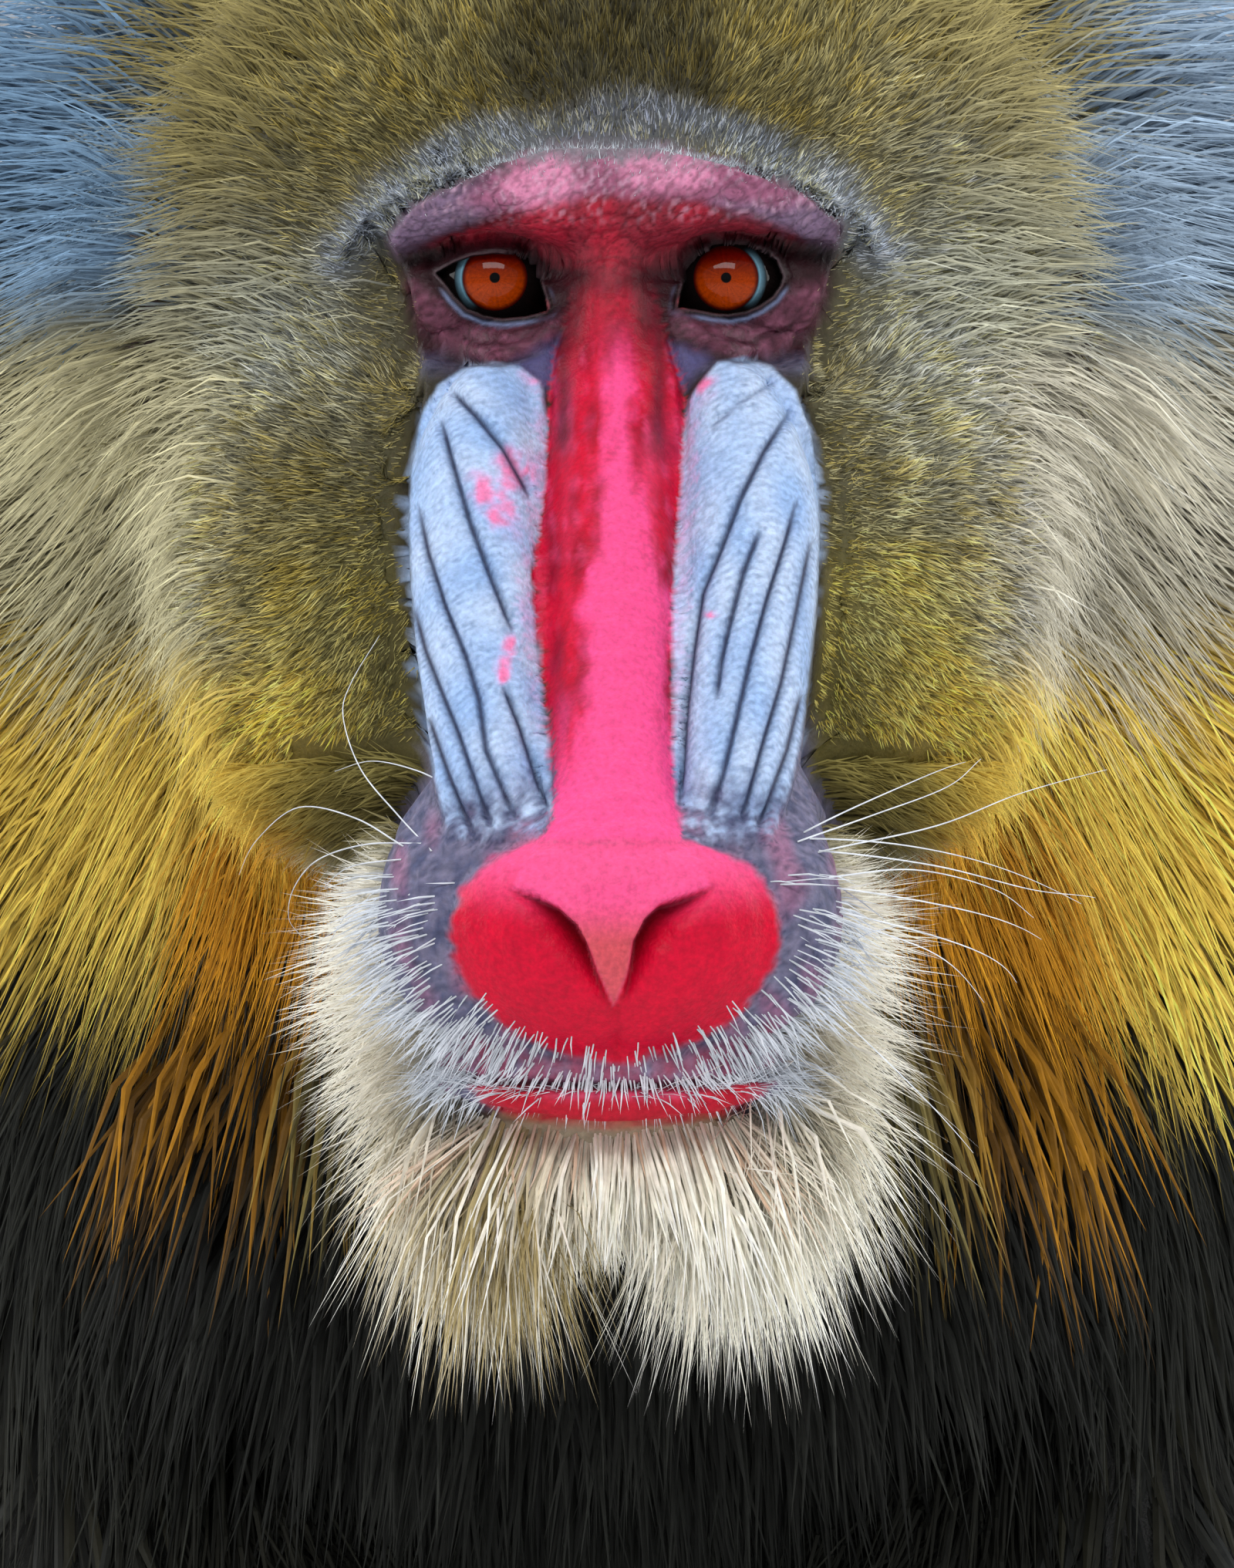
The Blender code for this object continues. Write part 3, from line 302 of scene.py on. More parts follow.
helpers = bpy.data.collections.new("helpers")
bpy.context.scene.collection.children.link(helpers)


# The trunk: back from the eyes, height, half width, half height, out to the coat.
TRUNK = (
    (0.770, 0.434, 0.080, 0.090),
    (0.730, 0.436, 0.100, 0.106),
    (0.680, 0.436, 0.108, 0.114),
    (0.600, 0.430, 0.104, 0.114),
    (0.500, 0.424, 0.110, 0.128),
    (0.400, 0.420, 0.126, 0.148),
    (0.310, 0.424, 0.140, 0.166),
    (0.230, 0.436, 0.146, 0.168),
    (0.175, 0.448, 0.128, 0.148),
    (0.130, 0.455, 0.098, 0.112),
    (0.090, 0.462, 0.074, 0.086),
)


def fore_limb(side, stride):
    """Shoulder to wrist of one arm; stride moves the wrist forward."""
    x = side
    return [
        (at(0.084 * x, 0.225, 0.500), 0.054, 0.060),
        (at(0.096 * x, 0.208, 0.440), 0.058, 0.064),
        (at(0.104 * x, 0.207, 0.385), 0.056, 0.064),
        (at(0.108 * x, 0.228, 0.320), 0.050, 0.056),
        (at(0.108 * x, 0.240 - 0.3 * stride, 0.262), 0.045, 0.049),
        (at(0.106 * x, 0.228 - 0.5 * stride, 0.210), 0.045, 0.048),
        (at(0.102 * x, 0.212 - 0.75 * stride, 0.150), 0.038, 0.040),
        (at(0.099 * x, 0.198 - stride, 0.100), 0.029, 0.030),
        (at(0.098 * x, 0.190 - stride, 0.068), 0.026, 0.022),
    ]


def hind_limb(side, stride):
    """Hip to heel of one leg; stride moves the heel forward."""
    x = side
    return [
        (at(0.066 * x, 0.716, 0.440), 0.060, 0.086),
        (at(0.080 * x, 0.700, 0.385), 0.062, 0.094),
        (at(0.096 * x, 0.655 - 0.2 * stride, 0.320), 0.056, 0.074),
        (at(0.104 * x, 0.625 - 0.4 * stride, 0.262), 0.048, 0.054),
        (at(0.104 * x, 0.640 - 0.6 * stride, 0.205), 0.041, 0.046),
        (at(0.102 * x, 0.680 - 0.8 * stride, 0.145), 0.036, 0.041),
        (at(0.099 * x, 0.715 - stride, 0.092), 0.028, 0.031),
        (at(0.098 * x, 0.733 - stride, 0.055), 0.023, 0.026),
        (at(0.098 * x, 0.737 - stride, 0.030), 0.019, 0.022),
    ]


STRIDES = {"left": (0.022, 0.030), "right": (-0.012, -0.018)}
SIDES = {"left": 1.0, "right": -1.0}


TAIL = (
    (at(0, 0.770, 0.490), 0.032, 0.030),
    (at(0, 0.796, 0.520), 0.024, 0.024),
    (at(0, 0.816, 0.548), 0.019, 0.019),
    (at(0, 0.830, 0.572), 0.013, 0.013),
)


# The head, by horizontal sections: height, front, back and half width, out to the tips of the short fur.
SKULL = (
    (0.086, -0.050, -0.092, 0.022),
    (0.076, -0.028, -0.116, 0.050),
    (0.056, -0.008, -0.134, 0.076),
    (0.030, 0.001, -0.144, 0.090),
    (0.004, -0.009, -0.148, 0.095),
    (-0.026, -0.012, -0.146, 0.095),
    (-0.056, -0.018, -0.138, 0.089),
    (-0.084, -0.026, -0.126, 0.076),
    (-0.108, -0.038, -0.112, 0.056),
    (-0.122, -0.052, -0.098, 0.030),
)
BROW = (
    (face(-0.056, -0.026, 0.002), 0.008),
    (face(-0.042, -0.008, 0.014), 0.009),
    (face(-0.022, 0.002, 0.019), 0.010),
    (face(0.0, 0.001, 0.016), 0.012),
    (face(0.022, 0.002, 0.019), 0.010),
    (face(0.042, -0.008, 0.014), 0.009),
    (face(0.056, -0.026, 0.002), 0.008),
)
CHEEKBONE = (
    (0.030, 0.000, -0.026, 0.008),
    (0.044, -0.012, -0.022, 0.010),
    (0.062, -0.032, -0.012, 0.011),
)

# Muzzle, jaw, ridges and nose: top and bottom of each section as (forward, up), and half width.
MUZZLE = (
    ((0.002, 0.000), (-0.042, -0.030), 0.027),
    ((0.012, -0.018), (-0.037, -0.053), 0.034),
    ((0.026, -0.039), (-0.026, -0.077), 0.036),
    ((0.042, -0.060), (-0.006, -0.096), 0.036),
    ((0.057, -0.079), (0.016, -0.111), 0.037),
    ((0.070, -0.096), (0.036, -0.124), 0.041),
    ((0.080, -0.107), (0.058, -0.142), 0.044),
    ((0.083, -0.114), (0.073, -0.150), 0.040),
)
JAW = (
    ((-0.046, -0.056), (-0.080, -0.122), 0.050),
    ((-0.018, -0.064), (-0.050, -0.138), 0.046),
    ((0.010, -0.076), (-0.016, -0.150), 0.043),
    ((0.034, -0.098), (0.014, -0.163), 0.041),
    ((0.055, -0.122), (0.038, -0.175), 0.038),
    ((0.070, -0.141), (0.056, -0.181), 0.033),
    ((0.076, -0.149), (0.067, -0.176), 0.027),
)
RIDGE = (
    ((0.004, -0.014), (-0.010, -0.024), 0.0195, 0.0050),
    ((0.014, -0.019), (-0.014, -0.040), 0.0225, 0.0100),
    ((0.026, -0.031), (-0.008, -0.056), 0.0250, 0.0135),
    ((0.038, -0.045), (0.004, -0.072), 0.0255, 0.0140),
    ((0.053, -0.064), (0.020, -0.089), 0.0245, 0.0132),
    ((0.067, -0.083), (0.036, -0.106), 0.0235, 0.0124),
    ((0.077, -0.097), (0.050, -0.118), 0.0225, 0.0112),
)
BRIDGE = (
    ((0.007, 0.010), (-0.012, 0.000), 0.0075),
    ((0.014, -0.010), (-0.006, -0.022), 0.0080),
    ((0.028, -0.030), (0.008, -0.046), 0.0115),
    ((0.046, -0.053), (0.026, -0.069), 0.0130),
    ((0.064, -0.076), (0.044, -0.092), 0.0125),
    ((0.080, -0.097), (0.060, -0.113), 0.0130),
    ((0.090, -0.109), (0.072, -0.126), 0.0180),
)
NOSE_CENTRE = (0.0, 0.0765, -0.1275)
NOSE_HALF = (0.0315, 0.0165, 0.0225)
NOSE_TILT = 22.0


CAP_DEPTH = 0.006
CAP_STEPS = ((0.88, 0.45), (0.45, 0.85))


def closing_rings(end, inner):
    """Two shrinking rings past the end of a form, which round it off."""
    middle = sum(end, Vector()) / len(end)
    ahead = (middle - sum(inner, Vector()) / len(inner)).normalized()
    return [[middle + (p - middle) * share + ahead * depth * CAP_DEPTH for p in end]
            for share, depth in CAP_STEPS]


def profile_loft(name, stations, sides=28, steps=2, power=2.4, offset=0.0):
    """A loft through sections given by their top and bottom points in profile, offset to one side."""
    rings = []
    for row in smooth_rows([(*s[0], *s[1], *s[2:]) for s in stations], steps):
        top, bottom = face(0, row[0], row[1]), face(0, row[2], row[3])
        up = (top - bottom).normalized()
        aside = Vector((offset * row[4], 0, 0))
        width = row[5] if offset else row[4]
        rings.append(ring_of((top + bottom) / 2 + aside, Vector((1, 0, 0)), up, width,
                             (top - bottom).length / 2, sides, power))
    first = closing_rings(rings[0], rings[1])[::-1]
    last = closing_rings(rings[-1], rings[-2])
    bm = bmesh.new()
    skin_rings(bm, first + rings + last)
    return object_from(bm, name)


SKULL_SIDES = 40
SKULL_POWER = 2.15


def skull_form():
    """The head stacked from horizontal sections."""
    rings = []
    for up, front, back, width in smooth_rows(SKULL, 3):
        centre = face(0, (front + back) / 2, up)
        rings.append(ring_of(centre, Vector((1, 0, 0)), Vector((0, 1, 0)), width, (front - back) / 2,
                             SKULL_SIDES, SKULL_POWER))
    bm = bmesh.new()
    skin_rings(bm, rings)
    return object_from(bm, "skull")


def crosswise_loft(name, stations, sides=16, steps=4):
    """A tube with round sections that runs from side to side."""
    rows = smooth_rows([(*s[0], s[1]) for s in stations], steps)
    rings = []
    last = len(rows) - 1
    for i, row in enumerate(rows):
        ahead = Vector(rows[min(i + 1, last)][:3])
        along = (ahead - Vector(rows[max(i - 1, 0)][:3])).normalized()
        across = (Vector((0, 0, 1)) - along * along.z).normalized()
        rings.append(ring_of(Vector(row[:3]), across, across.cross(along), row[3], row[3], sides, 2.0))
    bm = bmesh.new()
    skin_rings(bm, rings)
    return object_from(bm, name)


PAW_ASIDE = 0.098
PAW_SINK = 0.0022


def paw_spot(word, pair):
    """Places points from the middle line of a hand (pair 0) or a foot (pair 1)."""
    side, stride = SIDES[word], STRIDES[word][pair]
    return lambda x, back, up: at(side * (PAW_ASIDE + x), back - stride, up - PAW_SINK)


def hand_forms(word):
    """The palm and fingers of one hand, and where the tips of the fingers are."""
    spot = paw_spot(word, 0)
    palm = [
        (spot(0.001, 0.200, 0.110), 0.026, 0.027), (spot(0.0, 0.193, 0.080), 0.025, 0.025),
        (spot(0.0, 0.184, 0.052), 0.027, 0.020), (spot(0.0, 0.166, 0.028), 0.031, 0.015),
        (spot(0.001, 0.146, 0.016), 0.033, 0.011),
    ]
    made = [loft("palm", palm, sides=32)]
    for x, reach in FINGERS:
        finger = [
            (spot(x * 0.9, 0.156, 0.017), 0.0095, 0.0090), (spot(x, 0.140, 0.0145), 0.0084, 0.0082),
            (spot(x * 1.04, 0.146 - reach * 0.35, 0.0140), 0.0086, 0.0086),
            (spot(x * 1.08, 0.146 - reach * 0.6, 0.0125), 0.0076, 0.0074),
            (spot(x * 1.15, 0.146 - reach, 0.0068), 0.0064, 0.0062),
        ]
        made.append(loft("finger", finger, sides=20, steps=4))
    thumb = [
        (spot(-0.020, 0.176, 0.030), 0.0100, 0.0100), (spot(-0.034, 0.160, 0.018), 0.0085, 0.0085),
        (spot(-0.041, 0.142, 0.0075), 0.0065, 0.0065),
    ]
    made.append(loft("thumb", thumb, sides=20, steps=4))
    tips = [spot(x * 1.15, 0.146 - reach, 0.0068) for x, reach in FINGERS] + [spot(-0.041, 0.142, 0.0075)]
    return made, tips


def foot_forms(word):
    """The heel, sole and toes of one foot, and where the tips of the toes are."""
    spot = paw_spot(word, 1)
    ankle = [
        (spot(0.001, 0.712, 0.110), 0.025, 0.029), (spot(0.0, 0.722, 0.080), 0.025, 0.028),
        (spot(0.0, 0.730, 0.050), 0.023, 0.026), (spot(0.0, 0.733, 0.028), 0.020, 0.024),
    ]
    sole = [
        (spot(0.0, 0.742, 0.020), 0.020, 0.019), (spot(0.0, 0.715, 0.028), 0.023, 0.026),
        (spot(0.001, 0.680, 0.028), 0.026, 0.024), (spot(0.002, 0.645, 0.018), 0.030, 0.016),
        (spot(0.003, 0.622, 0.013), 0.031, 0.011),
    ]
    made = [loft("ankle", ankle, sides=32), loft("sole", sole, sides=32)]
    for x, reach in TOES:
        toe = [
            (spot(x * 0.9, 0.632, 0.015), 0.0095, 0.0090), (spot(x, 0.616, 0.0125), 0.0083, 0.0079),
            (spot(x * 1.04, 0.622 - reach * 0.35, 0.0122), 0.0083, 0.0080),
            (spot(x * 1.08, 0.622 - reach * 0.6, 0.0115), 0.0076, 0.0073),
            (spot(x * 1.15, 0.622 - reach, 0.0064), 0.0062, 0.0060),
        ]
        made.append(loft("toe", toe, sides=20, steps=4))
    big = [
        (spot(-0.016, 0.690, 0.022), 0.0130, 0.0130), (spot(-0.034, 0.664, 0.014), 0.0110, 0.0105),
        (spot(-0.047, 0.634, 0.0085), 0.0082, 0.0078),
    ]
    made.append(loft("big_toe", big, sides=20, steps=4))
    tips = [spot(x * 1.15, 0.622 - reach, 0.0064) for x, reach in TOES] + [spot(-0.047, 0.634, 0.0085)]
    return made, tips


FINGERS = ((-0.0235, 0.048), (-0.0080, 0.060), (0.0080, 0.058), (0.0235, 0.046))
TOES = ((-0.0200, 0.060), (-0.0050, 0.064), (0.0110, 0.060), (0.0255, 0.050))


def head_forms():
    """All the forms of the head, still apart."""
    made = [skull_form(), crosswise_loft("brow", BROW)]
    made.append(profile_loft("snout", MUZZLE, power=2.7, sides=48, steps=4))
    made.append(profile_loft("jaw", JAW, power=2.5, sides=48, steps=4))
    made.append(profile_loft("nose_bridge", BRIDGE, sides=32, steps=4, power=2.2))
    made.append(ellipsoid("nose", face(*NOSE_CENTRE), NOSE_HALF, tilt=NOSE_TILT,
                          segments=40, rings=24))
    for side in SIDES.values():
        bone = [(face(side * x, f, u), r) for x, f, u, r in CHEEKBONE]
        made.append(crosswise_loft("cheekbone", bone if side > 0 else bone[::-1]))
        made.append(ellipsoid("cheek", face(side * 0.046, -0.050, -0.054), (0.045, 0.052, 0.066)))
        made.append(ellipsoid("orbit", face(side * 0.024, -0.020, 0.0), (0.026, 0.016, 0.018)))
        made.append(profile_loft("ridge", RIDGE, sides=40, steps=4, power=2.3, offset=side))
        made.append(ellipsoid("ear", face(side * 0.0900, -0.088, -0.002), (0.0065, 0.0170, 0.0260),
                              tilt=-14, turn=side * 24, segments=32, rings=20))
    return made


def melted(name, forms, voxel, rounds):
    """Overlapping forms melted into one, as arrays of points and triangles."""
    whole = join(name, forms)
    remesh = whole.modifiers.new("melt", "REMESH")
    remesh.mode = "VOXEL"
    remesh.voxel_size = voxel
    smooth = whole.modifiers.new("smooth", "SMOOTH")
    smooth.factor = 0.5
    smooth.iterations = rounds
    bake(whole)
    whole.data.calc_loop_triangles()
    points = np.zeros(len(whole.data.vertices) * 3)
    whole.data.vertices.foreach_get("co", points)
    triangles = np.zeros(len(whole.data.loop_triangles) * 3, np.int64)
    whole.data.loop_triangles.foreach_get("vertices", triangles)
    remove(whole)
    return points.reshape(-1, 3), triangles.reshape(-1, 3)


def refine(points, triangles, chosen):
    """Halves the edges of the chosen triangles and splits their neighbours to match."""
    sides = np.sort(triangles[:, [0, 1, 1, 2, 2, 0]].reshape(-1, 2), axis=1)
    keys, index = np.unique(sides[:, 0] * len(points) + sides[:, 1], return_inverse=True)
    index = index.reshape(-1, 3)
    cut = np.zeros(len(keys), bool)
    cut[index[chosen].ravel()] = True
    number = np.full(len(keys), -1)
    number[cut] = len(points) + np.arange(cut.sum())
    middle = (points[keys[cut] // len(points)] + points[keys[cut] % len(points)]) / 2
    mids = number[index]
    count = (mids >= 0).sum(1)
    made = [triangles[count == 0]]
    f, m = triangles[count == 3], mids[count == 3]
    made += [np.stack(c, 1) for c in ((f[:, 0], m[:, 0], m[:, 2]), (m[:, 0], f[:, 1], m[:, 1]),
                                      (m[:, 2], m[:, 1], f[:, 2]), (m[:, 0], m[:, 1], m[:, 2]))]
    for k in range(3):
        one = (count == 1) & (mids[:, k] >= 0)
        f, m = np.roll(triangles[one], -k, axis=1), mids[one][:, k]
        made += [np.stack(c, 1) for c in ((f[:, 0], m, f[:, 2]), (m, f[:, 1], f[:, 2]))]
        two = (count == 2) & (mids[:, k] < 0)
        f, m = np.roll(triangles[two], -k, axis=1), np.roll(mids[two], -k, axis=1)
        made += [np.stack(c, 1) for c in ((f[:, 0], f[:, 1], m[:, 1]), (f[:, 0], m[:, 1], m[:, 2]),
                                          (m[:, 2], m[:, 1], f[:, 2]))]
    return np.vstack([points, middle]), np.vstack(made)


def normals_of(points, triangles):
    """The direction out of the surface at each point."""
    a, b, c = (points[triangles[:, k]] for k in range(3))
    cross = np.cross(b - a, c - a)
    total = np.stack([sum(np.bincount(triangles[:, k], cross[:, axis], len(points)) for k in range(3))
                      for axis in range(3)], 1)
    return total / np.maximum(np.linalg.norm(total, axis=1), 1e-12)[:, None]


def relax(points, triangles, strength, rounds):
    """Evens a surface out, with a strength from 0 to 1 for each point."""
    sides = np.unique(np.sort(triangles[:, [0, 1, 1, 2, 2, 0]].reshape(-1, 2), axis=1), axis=0)
    count = np.bincount(sides.ravel(), minlength=len(points))
    for _ in range(rounds):
        total = np.zeros_like(points)
        for axis in range(3):
            total[:, axis] = (np.bincount(sides[:, 0], points[sides[:, 1], axis], len(points))
                              + np.bincount(sides[:, 1], points[sides[:, 0], axis], len(points)))
        points = points + (total / count[:, None] - points) * strength[:, None]
    return points


def pulled(points, tree):
    """The nearest points of a finer surface."""
    return np.array([tree.find_nearest(p)[0][:] for p in points])


SKIN_VOXEL = 0.0048
FACE_VOXEL = 0.0013
PAW_VOXEL = 0.0018


def all_forms():
    """Every form of the body, still apart."""
    made = [loft("trunk", [(at(0, b, z), w, h) for b, z, w, h in TRUNK], sides=64, steps=6,
                 power=2.4, cap=0.5), loft("tail", TAIL, sides=32)]
    for word, side in SIDES.items():
        fore_stride, hind_stride = STRIDES[word]
        made.append(loft("arm", fore_limb(side, fore_stride), sides=40))
        made.append(loft("leg", hind_limb(side, hind_stride), sides=40))
        made += hand_forms(word)[0] + foot_forms(word)[0]
        made.append(ellipsoid("pad", at(side * 0.0330, 0.803, 0.402), (0.0240, 0.0120, 0.0330),
                              tilt=14, turn=side * 16, segments=32, rings=20))
    return made + head_forms()


def tree_from(points, triangles):
    """A search tree over a surface."""
    return BVHTree.FromPolygons(points.tolist(), triangles.tolist())


head_points, head_triangles = melted("head", head_forms(), FACE_VOXEL, 2)
head_tree = tree_from(head_points, head_triangles)
paw_forms = []
for word in SIDES:
    paw_forms += hand_forms(word)[0] + foot_forms(word)[0]
paw_tree = tree_from(*melted("paws", paw_forms, PAW_VOXEL, 2))
skin, skin_faces = melted("skin", all_forms(), SKIN_VOXEL, 4)


def near_face(points):
    """Points of the front of the head."""
    forward, up = EYES_Y - points[:, 1], points[:, 2] - EYES_Z
    return (forward > -0.050) & (np.abs(points[:, 0]) < 0.072) & (up > -0.20) & (up < 0.060)


def near_ears(points):
    """1 on the ears, 0 off them."""
    forward, up, side = EYES_Y - points[:, 1], points[:, 2] - EYES_Z, np.abs(points[:, 0])
    size = (((side - 0.0920) / 0.0120) ** 2 + ((forward + 0.088) / 0.0195) ** 2
            + ((up + 0.002) / 0.0285) ** 2)
    return step(1.15, 0.95, size)


def on_paws(points):
    """Points low enough to be on a hand or foot."""
    return points[:, 2] < 0.075


# Outlines and lines of the face, in the photograph's pixels.
RIDGE_OUTLINES = (
    ((640, 470), (600, 478), (568, 500), (546, 540), (534, 600), (530, 680), (533, 760), (540, 850),
     (552, 940), (566, 1020), (582, 1085), (640, 1095), (700, 1085), (716, 1050), (712, 1000),
     (704, 920), (695, 830), (690, 780), (688, 740), (697, 690), (706, 610), (709, 540), (700, 495),
     (672, 474)),
    ((905, 500), (930, 470), (965, 463), (1000, 475), (1030, 505), (1052, 560), (1062, 640),
     (1063, 700), (1058, 790), (1048, 880), (1038, 960), (1022, 1030), (1000, 1090), (940, 1098),
     (890, 1088), (878, 1050), (874, 1000), (872, 900), (872, 800), (876, 720), (884, 640), (888, 560),
     (893, 520)),
)
GROOVES = (
    ((587, 509), (617, 540), (652, 583), (686, 645)),
    ((572, 544), (587, 600), (608, 674), (634, 744), (665, 822)),
    ((652, 890), (673, 943), (695, 1012), (712, 1051)),
    ((543, 657), (556, 718), (578, 787), (604, 852), (621, 908), (630, 973), (652, 1025), (671, 1069)),
    ((537, 787), (552, 843), (574, 900), (595, 952), (617, 1017), (639, 1077)),
    ((556, 930), (582, 1004), (617, 1090)),
    ((1003, 496), (960, 522), (921, 557)),
    ((1025, 531), (990, 587), (960, 648), (934, 717), (912, 770), (901, 843), (892, 917), (886, 1004),
     (879, 1056)),
    ((986, 687), (964, 743), (947, 808), (936, 856), (929, 908)),
    ((1033, 648), (1016, 709), (994, 778), (973, 856), (955, 934), (938, 1004), (918, 1064)),
    ((1051, 700), (1029, 808), (1012, 887), (990, 960), (960, 1069)),
    ((1038, 900), (1020, 973), (981, 1077)),
)
FAINT_GROOVES = (6,)
BRIDGE_OUTLINE = (
    (728, 430), (716, 480), (710, 540), (706, 610), (697, 700), (688, 745), (690, 790), (702, 860),
    (714, 940), (719, 1010), (716, 1060), (700, 1092), (885, 1092), (882, 1060), (874, 1000),
    (870, 900), (872, 800), (876, 720), (884, 640), (889, 560), (884, 500), (868, 450), (856, 400),
    (840, 350), (742, 350), (738, 390),
)
NOSE_OUTLINE = (
    (641, 1113), (600, 1150), (585, 1200), (590, 1250), (611, 1290), (655, 1330), (706, 1358),
    (760, 1375), (801, 1380), (860, 1368), (915, 1345), (960, 1315), (1000, 1260), (1012, 1215),
    (1005, 1170), (980, 1130), (943, 1107), (880, 1085), (700, 1085),
)
NOSTRILS = (
    ((664, 1152), (697, 1161), (725, 1177), (748, 1198), (762, 1224), (775, 1260), (791, 1300)),
    ((922, 1150), (890, 1161), (854, 1173), (835, 1191), (821, 1219), (814, 1260), (805, 1300)),
)
BROW_PINKS = (
    ((648, 236), (672, 212), (712, 198), (742, 212), (752, 236), (738, 262), (712, 276), (682, 272),
     (660, 262)),
    ((800, 212), (830, 200), (880, 198), (918, 212), (930, 232), (900, 246), (858, 248), (820, 240)),
)
BROW_BLUSH = (
    (600, 262), (640, 222), (700, 190), (790, 188), (870, 186), (940, 208), (1000, 232), (1050, 262),
    (1010, 270), (940, 262), (870, 262), (790, 276), (700, 284), (640, 276),
)
BROW_REDS = (
    ((690, 268), (735, 262), (752, 290), (730, 316), (700, 306), (676, 286)),
    ((760, 262), (796, 258), (800, 296), (812, 330), (786, 350), (768, 318)),
    ((880, 268), (910, 262), (926, 274), (904, 290), (880, 288)),
    ((560, 318), (610, 300), (640, 296), (628, 312), (590, 326)),
)
BROW_PURPLES = (
    ((498, 312), (528, 272), (580, 246), (645, 226), (665, 262), (604, 288), (545, 318), (508, 332)),
    ((915, 222), (990, 236), (1048, 260), (1090, 292), (1084, 316), (1024, 304), (965, 284),
     (915, 264)),
)
UNDER_BROW = (
    (524, 340), (562, 314), (640, 286), (700, 264), (790, 252), (880, 264), (960, 277), (1030, 305),
    (1054, 336), (1000, 326), (940, 314), (892, 322), (858, 345), (790, 372), (730, 345), (690, 326),
    (640, 320), (580, 328), (545, 345),
)
BAGS = (
    ((528, 368), (545, 416), (580, 452), (632, 470), (690, 462), (724, 436), (728, 410), (700, 424),
     (650, 428), (600, 418), (566, 388)),
    ((1072, 366), (1056, 416), (1010, 456), (960, 466), (905, 452), (872, 424), (876, 396), (910, 418),
     (956, 422), (1000, 402), (1030, 372)),
)
BAG_FOLDS = (
    ((540, 410), (560, 444), (596, 470), (650, 474), (700, 458), (730, 430)),
    ((556, 392), (580, 426), (620, 446), (670, 446), (712, 428)),
    ((875, 420), (905, 452), (955, 470), (1008, 462), (1050, 425), (1064, 392)),
    ((890, 408), (930, 438), (975, 446), (1020, 428), (1044, 392)),
)
SOCKET_CREASES = (
    ((590, 322), (545, 334), (500, 346), (440, 352)),
    ((1000, 316), (1045, 328), (1090, 336), (1152, 340)),
)
SOCKETS = (
    ((520, 336), (600, 308), (680, 312), (728, 350), (738, 410), (716, 450), (650, 480), (580, 466),
     (535, 410)),
    ((1078, 336), (1000, 304), (915, 304), (862, 345), (852, 405), (872, 446), (940, 474), (1010, 464),
     (1064, 410)),
)
MOUTH = (
    (566, 1392), (606, 1400), (680, 1406), (740, 1409), (800, 1410), (860, 1409), (930, 1404),
    (1000, 1394), (1040, 1384),
)
LIP_OUTLINE = (
    (600, 1402), (680, 1408), (740, 1411), (800, 1412), (860, 1411), (930, 1406), (1012, 1396),
    (985, 1424), (940, 1446), (900, 1456), (850, 1462), (780, 1463), (720, 1459), (670, 1448),
    (625, 1430),
)
MUZZLE_OUTLINE = (
    (566, 1010), (520, 1060), (480, 1130), (470, 1220), (480, 1320), (520, 1400), (570, 1440),
    (660, 1470), (800, 1480), (930, 1470), (1020, 1440), (1085, 1380), (1118, 1290), (1122, 1190),
    (1105, 1110), (1060, 1040), (1030, 1000), (980, 1080), (800, 1110), (620, 1085),
)
BARE_OUTLINE = (
    (498, 312), (528, 268), (580, 240), (645, 205), (720, 184), (850, 184), (940, 206), (1048, 250),
    (1096, 292), (1084, 350), (1075, 400), (1052, 452), (1046, 520), (1062, 570), (1072, 680),
    (1068, 800), (1058, 900), (1046, 990), (1075, 1045), (1112, 1110), (1130, 1190), (1124, 1290),
    (1090, 1370), (1015, 1424), (930, 1450), (800, 1464), (670, 1452), (582, 1426), (515, 1390),
    (474, 1320), (464, 1220), (474, 1130), (512, 1060), (556, 1000), (546, 940), (532, 850), (524, 760),
    (521, 680), (525, 600), (537, 540), (546, 480), (534, 430), (520, 360),
)
EYE_MIDDLES = ((643.0, 364.0), (940.0, 361.0))
EYE_OPENINGS = (
    ((566, 354), (590, 341), (612, 333), (640, 330), (668, 331), (686, 341), (698, 359), (706, 384),
     (710, 402), (682, 409), (652, 412), (628, 409), (606, 400), (590, 384), (577, 366)),
    ((1014, 359), (1006, 338), (988, 327), (971, 321), (948, 318), (925, 322), (909, 330), (897, 342),
     (889, 360), (882, 382), (879, 398), (900, 400), (925, 405), (945, 407), (966, 404), (984, 396),
     (1001, 384), (1011, 370)),
)


def signed_from(u, v, line):
    """Distance from a polyline, signed by side, and the share along it."""
    away, share = along(u, v, line)
    line = np.array(line, float)
    side = np.zeros(u.shape)
    best = np.full(u.shape, 1e9)
    for (x0, y0), (x1, y1) in zip(line, line[1:]):
        length2 = (x1 - x0) ** 2 + (y1 - y0) ** 2
        t = np.clip(((u - x0) * (x1 - x0) + (v - y0) * (y1 - y0)) / length2, 0, 1)
        d = np.hypot(u - x0 - t * (x1 - x0), v - y0 - t * (y1 - y0))
        cross = (x1 - x0) * (v - y0) - (y1 - y0) * (u - x0)
        nearer = d < best
        best = np.where(nearer, d, best)
        side = np.where(nearer, np.sign(cross), side)
    return away * side, share


def under_nostril(u, v, line):
    """Distance below the upper edge of a nostril, and the share along it."""
    signed, share = signed_from(u, v, line)
    return (signed if line[0][0] < line[-1][0] else -signed), share


def lid_value(u, v, eye):
    """Pixels from the edge of the opening between the lids, below 0 inside it."""
    outline = EYE_OPENINGS[eye]
    away, _ = along(u, v, outline + outline[:1])
    return np.where(inside(u, v, outline, 0.01) > 0.5, -away, away)


